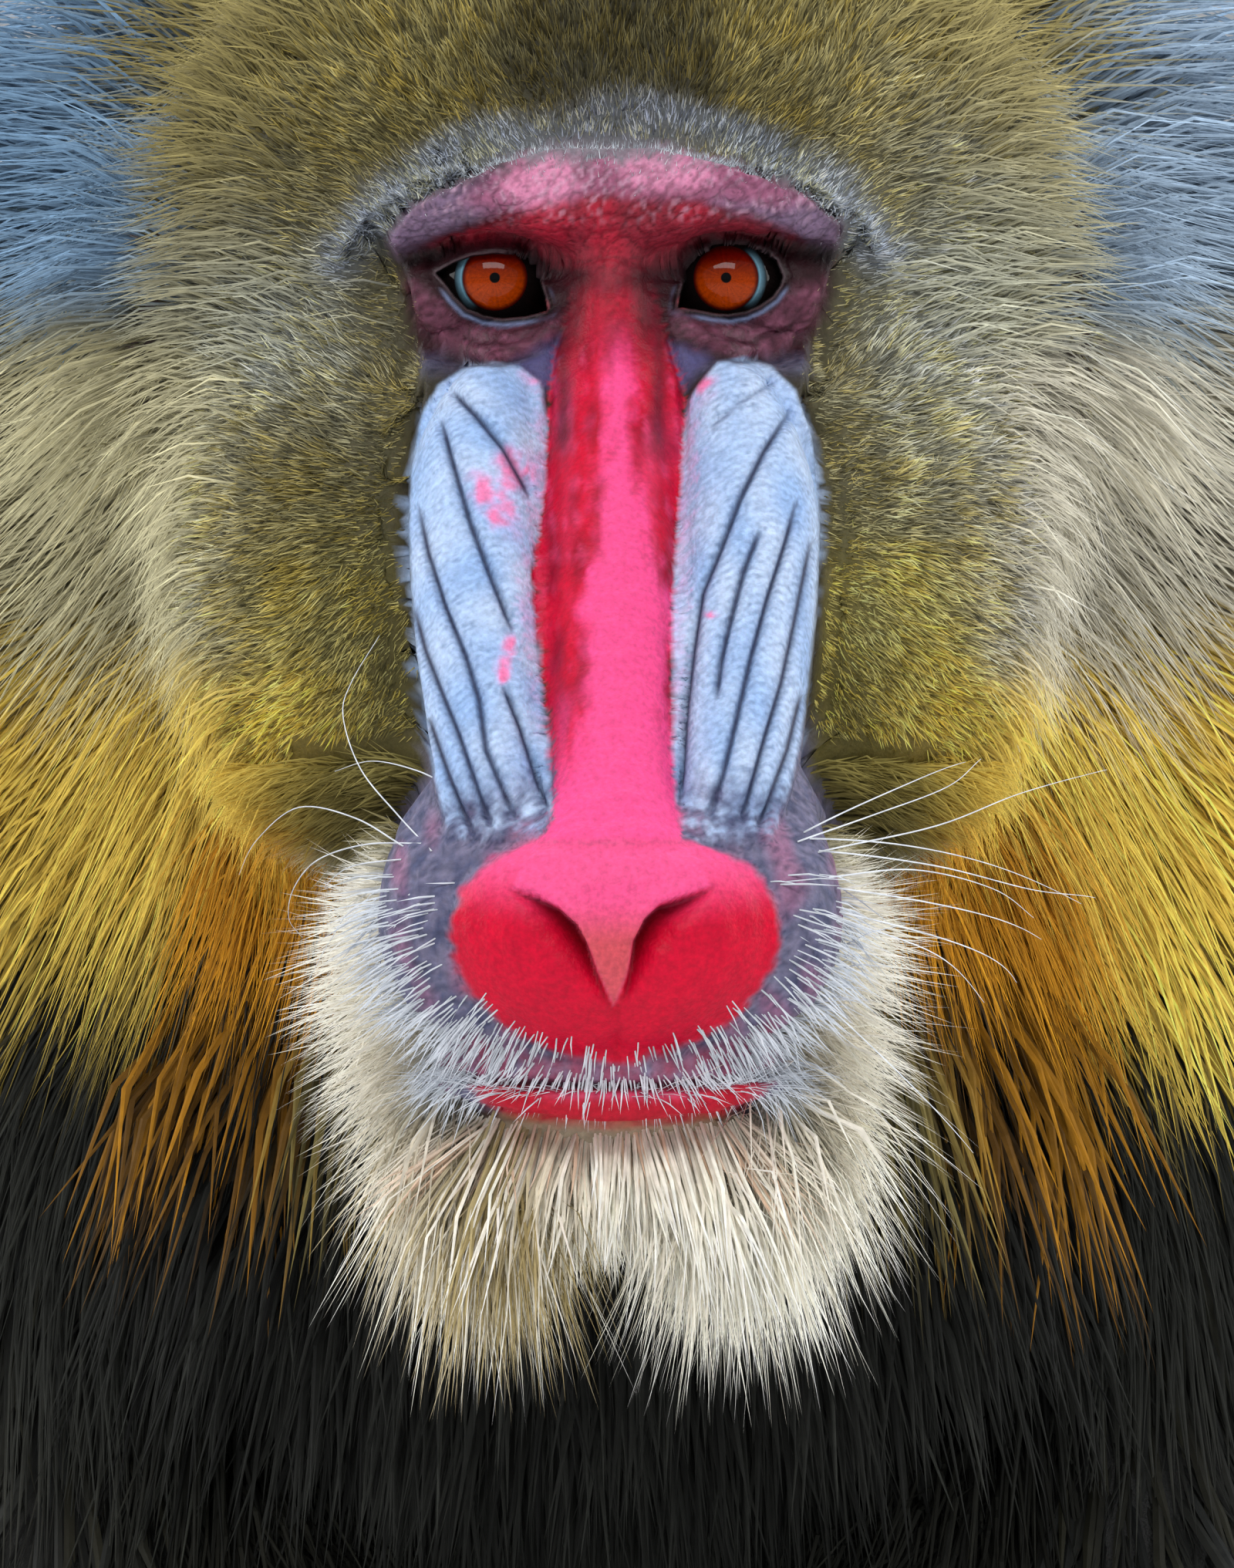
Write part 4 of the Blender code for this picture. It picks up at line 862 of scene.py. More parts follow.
def front_of_head(points):
    """1 where the photograph's outlines apply: the side of the head that faces forward."""
    forward, up = EYES_Y - points[:, 1], points[:, 2] - EYES_Z
    return step(-0.052, -0.040, forward) * step(-0.215, -0.205, up) * step(0.080, 0.070, up)


def bare_share(points):
    """1 on the bare skin of the face, 0 in the coat."""
    u, v = photo(points)
    forward = EYES_Y - points[:, 1]
    flank = step(1050, 1120, v) * step(0.064, 0.052, forward)
    return inside(u, v, BARE_OUTLINE, 9.0) * front_of_head(points) * (1 - flank)


BAG_STRETCH = np.array([1.0, 1.0, 2.2])


def ridged(points, size, seed):
    """Fine creases: 1 along thin winding lines, 0 between them."""
    return np.exp(-(waves(points, size, seed) / 0.16) ** 2)


def groove_share(u, v, width=5.0):
    """1 along the middle of the grooves in the blue ridges."""
    total = np.zeros(u.shape)
    for k, line in enumerate(GROOVES):
        away, share = along(u, v, line)
        ends = np.clip(np.minimum(share, 1 - share) * 11, 0, 1) ** 0.5
        strength = 0.35 if k in FAINT_GROOVES else 1.0
        total = np.maximum(total, strength * ends * np.exp(-(away / width) ** 2))
    return total


def face_relief(points):
    """How far each point of the face moves out along its normal, in metres."""
    u, v = photo(points)
    front = front_of_head(points)
    out = np.zeros(len(points))
    on_ridge = inside(u, v, RIDGE_OUTLINES[0], 5) + inside(u, v, RIDGE_OUTLINES[1], 5)
    out += 0.0011 * on_ridge
    out -= 0.0012 * groove_share(u, v, 4.2) * np.clip(on_ridge + 0.4, 0, 1)
    out += 0.0006 * (groove_share(u, v, 22.0) - groove_share(u, v, 12.0)) * on_ridge
    bridge = inside(u, v, BRIDGE_OUTLINE, 7)
    out += 0.0007 * bridge * step(420, 480, v)
    for line in (((720, 440), (712, 520), (706, 610), (697, 700), (689, 745)),
                 ((868, 440), (886, 500), (888, 560), (883, 640), (876, 720), (871, 800))):
        away, share = along(u, v, line)
        out -= 0.0016 * np.exp(-(away / 7.0) ** 2) * (1 - share) ** 0.5
    for k, line in enumerate(BAG_FOLDS):
        away, share = along(u, v, line)
        depth = 0.0013 if k % 2 == 0 else 0.0007
        out -= depth * np.exp(-(away / 5.0) ** 2) * np.sin(math.pi * share) ** 0.5
    for outline in BAGS:
        out += 0.0016 * inside(u, v, outline, 12)
    for line in SOCKET_CREASES:
        away, share = along(u, v, line)
        out -= 0.0030 * np.exp(-(away / 11.0) ** 2) * np.clip((1 - share) * 2, 0, 1)
    for line in NOSTRILS:
        below, share = under_nostril(u, v, line)
        reach = 3.0 + 30.0 * np.sin(math.pi * np.clip(share * 0.95 + 0.05, 0, 1)) ** 1.2
        depth = 0.0068 * np.sin(math.pi * np.clip(share * 0.86 + 0.10, 0, 1)) ** 1.5 + 0.0006
        cut = step(-1.5, 5.0, below) * np.exp(-(np.maximum(below, 0) / reach) ** 2)
        near_ends = step(-0.001, 0.04, share) * step(1.001, 0.97, share)
        out -= depth * cut * near_ends
        rim = np.exp(-((below + 8) / 9.0) ** 2) * np.sin(math.pi * share) ** 0.6
        out += 0.0010 * rim
    away, share = along(u, v, ((797, 1302), (799, 1340), (800, 1385)))
    out -= 0.0008 * np.exp(-(away / 5.0) ** 2)
    nose = inside(u, v, NOSE_OUTLINE, 8)
    out += 0.0010 * nose * step(1085, 1130, v)
    away, share = along(u, v, MOUTH)
    out -= 0.0026 * np.exp(-(away / 5.5) ** 2)
    out += 0.0018 * inside(u, v, LIP_OUTLINE, 10)
    wrinkle = np.sin(v * 0.42 + 3.0 * np.sin(u * 0.05)) * np.exp(-((v - 330) / 50.0) ** 2)
    out += 0.00028 * wrinkle * inside(u, v, BRIDGE_OUTLINE, 20)
    out += 0.00022 * waves(points, 0.0050, 5) * np.clip(1 - on_ridge, 0, 1)
    shelf = step(350, 320, v) * step(176, 200, v)
    out -= 0.00034 * ridged(points, 0.0034, 61) * shelf
    for outline in BAGS:
        out -= 0.00030 * ridged(points * BAG_STRETCH, 0.0042, 63) * inside(u, v, outline, 12)
    return out * front


def set_lids(points):
    """Draws the skin round the eyeballs: lids in front of them, and behind them in the opening."""
    u, v = photo(points)
    for eye, side in enumerate((-1.0, 1.0)):
        centre = np.array(face(side * EYE_SPACING, -EYE_DEPTH, 0.0)[:])
        dx, dz = points[:, 0] - centre[0], points[:, 2] - centre[2]
        span = np.hypot(dx, dz)
        near = (span < 0.019) & (points[:, 1] < centre[1] + 0.004)
        reach = EYE_RADIUS + LID_THICKNESS
        drop = np.sqrt(np.maximum(reach ** 2 - np.minimum(span, reach * 0.98) ** 2, 0))
        lid_y = centre[1] - drop
        value = lid_value(u, v, eye)
        rim = np.exp(-((value - 4.0) / 3.5) ** 2)
        lid_y = lid_y - 0.0005 * rim
        cover = step(reach * 1.02, reach * 0.72, span)
        blended = np.minimum(points[:, 1], mix(points[:, 1:2], lid_y[:, None], cover)[:, 0])
        upper_fold = np.exp(-((value - 14.0) / 3.5) ** 2) * (v < EYE_MIDDLES[eye][1])
        lower_fold = np.exp(-((value - 6.5) / 2.0) ** 2) * (v > EYE_MIDDLES[eye][1] + 8)
        blended = blended + 0.0008 * upper_fold + 0.0004 * lower_fold
        hidden = centre[1] - drop + 0.0058
        opened = step(0.5, -2.0, value)
        target = blended * (1 - opened) + hidden * opened
        points[near, 1] = target[near]
    return points


for level in range(4):
    centres = skin[skin_faces].mean(1)
    if level == 0:
        chosen = near_face(centres) | (near_ears(centres) > 0) | on_paws(centres)
    elif level == 1:
        u, v = photo(centres)
        edge, _ = along(u, v, BARE_OUTLINE + BARE_OUTLINE[:1])
        bare_or_edge = (bare_share(centres) > 0.02) | (edge < 26)
        chosen = near_face(centres) & bare_or_edge & (front_of_head(centres) > 0)
    else:
        u, v = photo(centres)
        fine = np.zeros(len(centres), bool)
        for middle in EYE_MIDDLES:
            fine |= (np.hypot((u - middle[0]) / 86, (v - middle[1]) / 58) < 1)
        for line in GROOVES:
            fine |= along(u, v, line)[0] < (16 if level == 2 else 6)
        if level == 2:
            for line in NOSTRILS + (MOUTH,):
                fine |= along(u, v, line)[0] < 16
            for outline in RIDGE_OUTLINES + (BRIDGE_OUTLINE, NOSE_OUTLINE):
                fine |= along(u, v, outline + outline[:1])[0] < 8
            fine |= (np.abs(u - 790) < 310) & (v > 180) & (v < 345)
        chosen = fine & near_face(centres) & (front_of_head(centres) > 0.5)
    skin, skin_faces = refine(skin, skin_faces, np.nonzero(chosen)[0])
    moving = np.nonzero(near_face(skin) | (near_ears(skin) > 0))[0]
    skin[moving] = pulled(skin[moving], head_tree)
    moving = np.nonzero(on_paws(skin))[0]
    skin[moving] = pulled(skin[moving], paw_tree)
strength = np.where(near_face(skin), 0.5, 0.0)
skin = relax(skin, skin_faces, strength, 3)
out = normals_of(skin, skin_faces)
relief = face_relief(skin)
skin = skin + out * relief[:, None]
skin = set_lids(skin)


def pad_share(points, wide, high):
    """1 on the two sitting pads, 0 off them."""
    side, rear = np.abs(points[:, 0]), points[:, 1] - EYES_Y
    spot = np.exp(-((side - 0.033) / wide) ** 2 - ((points[:, 2] - 0.402) / high) ** 2)
    return spot * step(0.77, 0.80, rear)


def coat_depth(points):
    """How far the skin lies under the tips of the short coat."""
    up = points[:, 2]
    body = 0.0015 + 0.0055 * step(0.10, 0.30, up)
    depth = body * step(0.075, 0.110, up)
    pad = pad_share(points, 0.030, 0.040)
    depth = depth * (1 - np.clip(pad * 1.4, 0, 1))
    ears = near_ears(points)
    return depth * (1 - bare_share(points)) * (1 - ears)


skin = skin - normals_of(skin, skin_faces) * coat_depth(skin)[:, None]
skin[:, 2] = np.maximum(skin[:, 2], 0.0)
skin_out = normals_of(skin, skin_faces)


OLIVE = srgb(112, 102, 60)
OLIVE_GREY = srgb(140, 140, 124)
STRIPE = srgb(58, 54, 36)
SILVER = srgb(128, 134, 140)
CREAM = srgb(166, 160, 128)
CREAM_PALE = srgb(184, 179, 162)
GOLD = srgb(192, 166, 74)
ORANGE = srgb(170, 112, 14)
# Dark fur of the chest and arms, darkened further as painted shade under the head.
DARK_FUR_AND_SHADE = srgb(32, 33, 30)
DARK_WARM = srgb(44, 28, 14)
# Olive-grey shoulder fur in painted bluish shade, darker and paler.
SHADED_BLUE_GREY = srgb(92, 118, 142)
SHADED_BLUE_PALE = srgb(134, 150, 166)
BEARD = srgb(212, 206, 192)
BEARD_YELLOW = srgb(160, 136, 50)
BRISTLE = srgb(214, 220, 228)
FLANK = srgb(104, 108, 98)
BELLY = srgb(158, 154, 138)
LIMB = srgb(62, 60, 50)
THIGH = srgb(96, 102, 98)
RUMP = srgb(120, 122, 120)
TAIL_HAIR = srgb(100, 96, 76)

RIDGE_BLUE = srgb(160, 192, 238)
RIDGE_LIGHT = srgb(196, 216, 246)
RIDGE_SHADE = srgb(84, 108, 152)
RIDGE_PINK = srgb(226, 168, 222)
RIDGE_HOT = srgb(250, 104, 156)
RIDGE_BLOTCHES = (
    (640, 652, 30, 46, 0.55), (668, 610, 30, 40, 0.2), (656, 850, 12, 40, -0.3), (652, 872, 12, 18, 0.0),
    (921, 797, 13, 6, 0.2), (700, 486, 26, 18, 0.0), (914, 500, 16, 26, 0.0),
)
PORE_STRETCH = np.array([1.4, 1.0, 0.6])
# Navy painted as the shade in the grooves of the ridges.
GROOVE_SHADE = srgb(30, 32, 66)
RED = srgb(204, 0, 48)
CRIMSON = srgb(180, 0, 50)
RED_PALE = srgb(238, 78, 130)
STREAK_STRETCH = np.array([1.0, 0.18, 0.18])
PINK = srgb(250, 78, 144)
NOSE_PINK = srgb(250, 84, 144)
SEPTUM = srgb(214, 84, 96)
NOSE_CRIMSON = srgb(218, 0, 50)
# Painted shade inside the nostrils.
NOSTRIL_SHADE = srgb(92, 0, 14)
BROW_PINK_TONE = srgb(224, 142, 178)
BROW_PURPLE_TONE = srgb(132, 108, 136)
BROW_PALE = srgb(226, 184, 208)
UNDER_BROW_RED = srgb(146, 40, 56)
# Painted shade of the deep eye sockets, and of the wrinkles and folds round the eyes.
SOCKET_SHADE = srgb(46, 18, 24)
BAG_TONE = srgb(104, 56, 74)
BLACK = srgb(12, 8, 9)
LID_PALE = srgb(112, 124, 158)
LID_RIM = srgb(84, 66, 72)
LID_SHADE = srgb(30, 6, 12)
CARUNCLE_ROSE = srgb(150, 72, 80)
CARUNCLES = ((704, 396), (886, 392))
SLATE = srgb(126, 122, 148)
SLATE_DARK = srgb(66, 74, 108)
SLATE_ROSE = srgb(172, 110, 142)
LIP_RED = srgb(186, 20, 44)
# Painted highlight on the lower lip.
LIP_HIGHLIGHT = srgb(216, 84, 124)
# Painted shade in the line of the mouth.
MOUTH_SHADE = srgb(70, 12, 24)
LIP_ROSE = srgb(164, 66, 92)
CHIN_ORANGE = srgb(196, 140, 96)
CHIN_CREAM = srgb(176, 160, 136)
UPPER_LIP = (
    (600, 1336), (700, 1370), (800, 1382), (900, 1364), (1000, 1326), (1040, 1380), (930, 1404),
    (800, 1412), (680, 1406), (570, 1390),
)
PALM_DARK = srgb(46, 40, 42)
EAR_SKIN = srgb(84, 68, 66)
PAD_VIOLET = srgb(150, 96, 150)
PAD_PINK = srgb(208, 108, 132)
PAD_BLUE = srgb(118, 138, 196)
UNDERCOAT = srgb(60, 54, 40)
BLUSH = srgb(168, 96, 128)
BROW_RED_TONE = srgb(186, 34, 58)
# Painted shade along the sides of the nose bridge, where it drops into the sockets and valleys.
BRIDGE_SIDE_SHADE = srgb(60, 14, 24)
BAG_LIGHT = srgb(142, 84, 108)
INNER_SLATE = srgb(84, 80, 122)
UNDER_EYES = (
    ((664, 470), (700, 452), (722, 440), (738, 462), (728, 500), (704, 510), (690, 492), (668, 482)),
    ((920, 462), (880, 446), (862, 446), (850, 462), (862, 492), (888, 505), (900, 488)),
)


BROW_LINE = (
    (450, 335), (520, 258), (640, 192), (790, 158), (940, 186), (1070, 250), (1140, 325),
)


def band(value, middle, half, soft):
    """1 within half of a middle value, with soft edges."""
    return step(half + soft, half, np.abs(value - middle))


def blob(u, v, middle_u, middle_v, wide, high):
    """1 at the middle of a soft oval, fading to 0 around it."""
    return np.exp(-((u - middle_u) / wide) ** 2 - ((v - middle_v) / high) ** 2)


def coat_colour(points):
    """The colour of the coat: from the photograph in front, from the species behind."""
    u, v = photo(points)
    back = points[:, 1] - EYES_Y
    up = points[:, 2]
    side = np.abs(points[:, 0])
    u = u + 14 * waves(points, 0.03, 11)
    v = v + 18 * waves(points, 0.03, 12)
    head = np.tile(OLIVE, (len(points), 1))
    grey = blob(u, v, 330, 420, 150, 150) + blob(u, v, 1250, 400, 170, 220)
    head = mix(head, OLIVE_GREY, np.clip(grey * 1.1, 0, 1))
    head = mix(head, STRIPE, 0.85 * band(u, 782, 85, 110) * step(175, 95, v))
    brow, _ = along(u, v, BROW_LINE)
    head = mix(head, SILVER, 0.85 * step(62, 18, brow))
    cheek = step(640, 800, v) * step(1060, 960, v) * step(250, 380, u) * step(1330, 1200, u)
    head = mix(head, head * np.array([1.55, 1.55, 1.35]), cheek * (0.9 + 0.9 * (u > 800)))
    head = mix(head, head * 1.35, step(980, 1120, u) * step(900, 700, v))
    left, right = step(345, 190, u), step(1230, 1400, u)
    head = mix(head, CREAM, left * step(400, 520, v))
    head = mix(head, CREAM_PALE, right * step(380, 500, v))
    low = step(820, 960, v)
    head = mix(head, GOLD, np.clip(step(520, 330, u) + step(1110, 1240, u), 0, 1) * low)
    head = mix(head, head * 1.3, step(1280, 1420, u) * low)
    deep = step(1020, 1170, v) * np.clip(band(u, 330, 80, 70) + band(u, 1300, 90, 90), 0, 1)
    head = mix(head, ORANGE, 0.9 * deep)
    # The chest and arms below the beard: dark fur, partly painted shade under the head.
    edge = 1270 + 80 * step(1150, 1400, u)
    head = mix(head, DARK_FUR_AND_SHADE, step(edge - 50, edge + 90, v))
    # Painted shade: the shoulders in the upper corners, olive-grey fur shown in bluish shade, paler to the
    # right and lower down.
    corner = step(215, 130, u) * step(470, 330, v) + step(1370, 1450, u) * step(500, 360, v)
    corner = np.clip(corner, 0, 1)
    paler = step(900, 1500, u) * 0.7 + 0.3 * step(200, 500, v)
    blue = mix(np.tile(SHADED_BLUE_GREY, (len(points), 1)), SHADED_BLUE_PALE, paler)
    head = mix(head, blue, corner)

    body = np.tile(FLANK, (len(points), 1))
    # Painted shade: the shoulders behind the head in the same bluish shade.
    body = mix(body, SHADED_BLUE_GREY, step(0.36, 0.24, back) * step(0.40, 0.50, up))
    body = mix(body, BELLY, step(0.340, 0.300, up) * step(0.32, 0.40, back) * step(0.12, 0.08, side))
    body = mix(body, THIGH, step(0.56, 0.62, back) * step(0.06, 0.09, side) * step(0.44, 0.38, up))
    arm = step(0.068, 0.085, side) * step(0.480, 0.400, up) * step(0.34, 0.29, back)
    body = mix(body, LIMB, arm)
    body = mix(body, LIMB, step(0.29, 0.20, up))
    # The chest dark: its own dark fur and painted shade under the head.
    chest = step(0.20, 0.15, back) * step(0.40, 0.35, up)
    body = mix(body, DARK_FUR_AND_SHADE, chest)
    midline = band(points[:, 0], 0.006, 0.004, 0.010)
    body = mix(body, DARK_WARM, chest * midline * step(0.30, 0.26, up) * 0.7)
    body = mix(body, RUMP, step(0.70, 0.76, back) * step(0.34, 0.40, up))
    body = mix(body, TAIL_HAIR, step(0.795, 0.81, back) * step(0.50, 0.52, up))
    spine = 0.55 * step(0.020, 0.008, side) * step(0.52, 0.56, up) * step(0.72, 0.60, back)
    body = mix(body, STRIPE, spine)
    turn = step(0.18, 0.26, back)
    return mix(head, body, turn)


def speckle(count, seed, strength):
    """A little random light and shade, around 1."""
    rng = np.random.default_rng(seed)
    return 1 + strength * rng.normal(size=count)


def skin_colour(points):
    """The markings of the skin, which the coat shares, with painted shade in the sockets, creases, grooves,
    nostrils and mouth line and a painted highlight on the lower lip.
    """
    u, v = photo(points)
    wobble_u = u + 3 * waves(points, 0.004, 21)
    wobble_v = v + 3 * waves(points, 0.004, 22)
    front = front_of_head(points)
    noise = waves(points, 0.0035, 23)
    fine = waves(points, 0.0014, 24)
    count = len(points)
    bare = np.tile(SLATE, (count, 1))
    bare = mix(bare, SLATE_DARK, np.clip(0.45 + 0.5 * noise + 0.3 * fine, 0, 1) * 0.8)
    rosy = np.clip(waves(points, 0.011, 28), 0, 1) * step(1010, 1080, v)
    bare = mix(bare, SLATE_ROSE, 0.6 * rosy)
    pores = np.clip(waves(points, 0.0011, 29) * 1.4, 0, 1)
    bare = mix(bare, SLATE_DARK * 0.5, 0.55 * pores)
    upper = step(1000, 900, v)
    # Painted shade: the bare skin above the eyes starts in the dark of the sockets under the brow.
    bare = mix(bare, SOCKET_SHADE, step(480, 450, v))
    bare = mix(bare, UNDERCOAT * 0.7, upper * step(455, 500, v))
    for outline in BROW_PURPLES:
        bare = mix(bare, BROW_PURPLE_TONE, inside(wobble_u, wobble_v, outline, 14))
    bare = mix(bare, BLUSH, 0.85 * inside(wobble_u, wobble_v, BROW_BLUSH, 16))
    bare = mix(bare, UNDER_BROW_RED, inside(wobble_u, wobble_v, UNDER_BROW, 12))
    for outline in BROW_PINKS:
        bare = mix(bare, BROW_PINK_TONE, 0.95 * inside(wobble_u, wobble_v, outline, 13))
    for outline in BROW_REDS:
        bare = mix(bare, BROW_RED_TONE, 0.75 * inside(wobble_u, wobble_v, outline, 11))
    brow = band(v, 265, 75, 30)
    lines = np.maximum(ridged(points, 0.0034, 61), ridged(points, 0.0022, 62))
    flecks = np.clip(waves(points, 0.0018, 67) * 1.6, 0, 1)
    flecks = flecks * np.clip(0.6 + waves(points, 0.006, 68), 0, 1)
    bare = mix(bare, BROW_PALE, 0.42 * flecks * step(300, 270, v) * brow)
    # Painted shade in the fine wrinkles of the brow.
    bare = mix(bare, bare * 0.45, brow * 0.80 * lines)
    bare = mix(bare, SILVER * 0.8, 0.75 * step(226, 190, v + 10 * noise) * brow)
    # Painted shade on the sides of the bridge between the eyes.
    nasion_shade = np.exp(-((np.abs(u - 793) - 44) / 22) ** 2) * band(v, 392, 34, 30)
    bare = mix(bare, BRIDGE_SIDE_SHADE, 0.85 * nasion_shade)
    # Painted shade in the eye sockets under the overhanging brow.
    for outline in SOCKETS:
        bare = mix(bare, SOCKET_SHADE, 0.85 * inside(u, v, outline, 16))
    stretched = points * BAG_STRETCH
    # Painted shade in the wrinkles of the bags under the eyes.
    wrinkle_shade = np.maximum(ridged(stretched, 0.0042, 63), 0.8 * ridged(stretched, 0.0026, 66))
    for outline in BAGS:
        tone = mix(np.tile(BAG_TONE, (count, 1)), BAG_LIGHT, 0.7 * np.clip(0.2 + fine, 0, 1))
        tone = mix(tone, SOCKET_SHADE, 0.70 * wrinkle_shade)
        bare = mix(bare, tone, 0.95 * inside(wobble_u, wobble_v, outline, 12))
    for outline in UNDER_EYES:
        bare = mix(bare, INNER_SLATE, inside(wobble_u, wobble_v, outline, 12))
    red = np.tile(RED, (count, 1))
    streak = waves(points * STREAK_STRETCH, 0.0030, 25)
    thread = waves(points * STREAK_STRETCH, 0.0014, 26)
    red = mix(red, CRIMSON * 0.62, 0.75 * np.clip(0.25 + 0.9 * streak, 0, 1))
    red = mix(red, RED_PALE, 0.42 * np.clip(thread + 0.3 * streak - 0.15, 0, 1) * step(1000, 560, v))
    patches = np.clip(waves(points * STREAK_STRETCH, 0.0085, 32) * 1.2 - 0.1, 0, 1)
    red = mix(red, RED_PALE, 0.3 * patches * step(930, 760, v) * step(430, 560, v))
    half = 12 + 14 * step(560, 680, v) + 26 * step(680, 780, v) + 46 * step(960, 1080, v)
    centre = 801 + 12 * step(600, 760, v)
    frayed = np.abs(wobble_u - centre) + 9 * streak + 7 * thread
    stripe = step(half + 18, half - 10, frayed)
    red = mix(red, PINK, stripe * step(395, 470, v) * 0.95)
    red = mix(red, PINK * 1.02, 0.85 * step(880, 1040, v + 40 * streak))
    high = step(500, 400, v)
    red = mix(red, BROW_RED_TONE * 0.75, 0.75 * high)
    # Painted shade on the sides of the top of the bridge.
    red = mix(red, BRIDGE_SIDE_SHADE * 1.5, 0.75 * high * step(22, 46, np.abs(u - 790)))
    # Painted shade in the wrinkles across the top of the bridge.
    red = mix(red, red * 0.55, 0.7 * high * ridged(points * np.array([1.6, 1.0, 1.0]), 0.0036, 64))
    # Painted shade in the valleys between the bridge and the ridges.
    valley_shade = np.exp(-((np.abs(u - 792) - 62) / 10) ** 2)
    red = mix(red, BRIDGE_SIDE_SHADE * 2.0, 0.7 * valley_shade * band(v, 500, 60, 60))
    bridge = inside(wobble_u + 4 * fine, v, BRIDGE_OUTLINE, 6) * step(352, 395, v)
    bare = mix(bare, red, bridge)
    for k, outline in enumerate(RIDGE_OUTLINES):
        inner = inside(wobble_u * 0.3 + u * 0.7, v, outline, 4)
        tone = np.tile(RIDGE_BLUE, (count, 1))
        cloud = 0.45 + 0.5 * waves(points, 0.012, 27 + k) + (0.2 if k else 0.0)
        tone = mix(tone, RIDGE_LIGHT, np.clip(cloud, 0, 1))
        tone = mix(tone, RIDGE_SHADE, 0.30 * np.clip(0.3 + fine, 0, 1))
        tone = mix(tone, RIDGE_SHADE * 0.8, 0.75 * step(960, 1090, v) * np.clip(0.55 + 0.6 * noise, 0, 1))
        pores = np.clip(waves(points * PORE_STRETCH, 0.0012, 33) * 1.5, 0, 1)
        tone = mix(tone, RIDGE_SHADE, 0.34 * pores * np.clip(0.5 + 0.8 * noise, 0, 1))
        near_bridge = along(u, v, BRIDGE_OUTLINE)[0] + 9 * fine
        rosy = step(26, 2, near_bridge) * step(1000, 900, v) * (1 - bridge)
        tone = mix(tone, RIDGE_PINK, 0.62 * rosy * np.clip(0.6 + 0.6 * noise, 0, 1))
        blotch = waves(points, 0.0050, 34) * 0.45 + waves(points, 0.0021, 35) * 0.35
        for pu, pv, wide, high, lean in RIDGE_BLOTCHES:
            off = u - pu - lean * (v - pv)
            spot = 1.35 * np.exp(-(off / wide) ** 2 - ((v - pv) / high) ** 2) * (1 + 0.7 * blotch) - 0.30
            tone = mix(tone, RIDGE_PINK, 0.75 * step(0.0, 0.9, spot))
            tone = mix(tone, RIDGE_HOT, 0.70 * step(0.45, 1.1, spot))
        # Painted shade beside and in the grooves of the ridges.
        tone = mix(tone, RIDGE_SHADE * 0.8, 0.42 * groove_share(u, v, 9.0))
        tone = mix(tone, GROOVE_SHADE, 0.92 * groove_share(u, v, 3.1))
        bare = mix(bare, tone, inner * step(1112, 1010, v + 26 * noise + 16 * fine))
    nose = np.tile(RED, (count, 1))
    nose = mix(nose, NOSE_CRIMSON, np.clip(0.4 + 0.5 * waves(points, 0.008, 31), 0, 1))
    top = step(1215, 1120, v + 0.0016 * (u - 797) ** 2 * 0.35)
    septum = inside(u, v, ((664, 1152), (725, 1177), (762, 1224), (775, 1260), (796, 1304), (814, 1260),
                           (821, 1219), (854, 1173), (922, 1150), (900, 1100), (690, 1100)), 3)
    nose = mix(nose, NOSE_PINK, np.clip(top * 0.9, 0, 1))
    nose = mix(nose, NOSE_PINK, septum)
    nose = mix(nose, SEPTUM, septum * step(1160, 1230, v))
    # Painted shade inside the nostrils, deepest under their upper rims.
    for line in NOSTRILS:
        below, share = under_nostril(u, v, line)
        reach = 4 + 24 * np.sin(math.pi * share) ** 1.5
        shade = step(0, 3, below) * np.exp(-(np.maximum(below, 0) / reach) ** 2)
        shade = shade * np.sin(math.pi * np.clip(share * 0.9 + 0.06, 0, 1)) ** 0.8
        nose = mix(nose, NOSTRIL_SHADE, 0.85 * shade)
    bare = mix(bare, nose, inside(wobble_u, wobble_v, NOSE_OUTLINE, 7) * step(1075, 1100, v))
    bare = mix(bare, LIP_ROSE, 0.70 * inside(u, v, UPPER_LIP, 10) * np.clip(0.7 + 0.5 * noise, 0, 1))
    bare = mix(bare, CHIN_ORANGE, 0.9 * step(1436, 1450, v) * band(u, 800, 200, 60))
    lip = inside(wobble_u, wobble_v, LIP_OUTLINE, 6) * step(240, 150, np.abs(u - 800))
    bare = mix(bare, LIP_RED, lip)
    # A painted highlight across the middle of the lower lip.
    painted_highlight = np.exp(-((v - 1419) / 7) ** 2) * step(130, 60, np.abs(u - 806))
    bare = mix(bare, LIP_HIGHLIGHT, 0.65 * lip * painted_highlight)
    # Painted shade along the line of the mouth.
    bare = mix(bare, MOUTH_SHADE, 0.85 * np.exp(-(along(u, v, MOUTH)[0] / 5.0) ** 2))
    # Painted shadow of the overhanging brow: black along the creases out from the sockets.
    for line in SOCKET_CREASES:
        away, share = along(u, v, line)
        bare = mix(bare, BLACK, 0.92 * np.exp(-(away / 13.0) ** 2) * np.clip((1.05 - share) * 1.6, 0, 1))
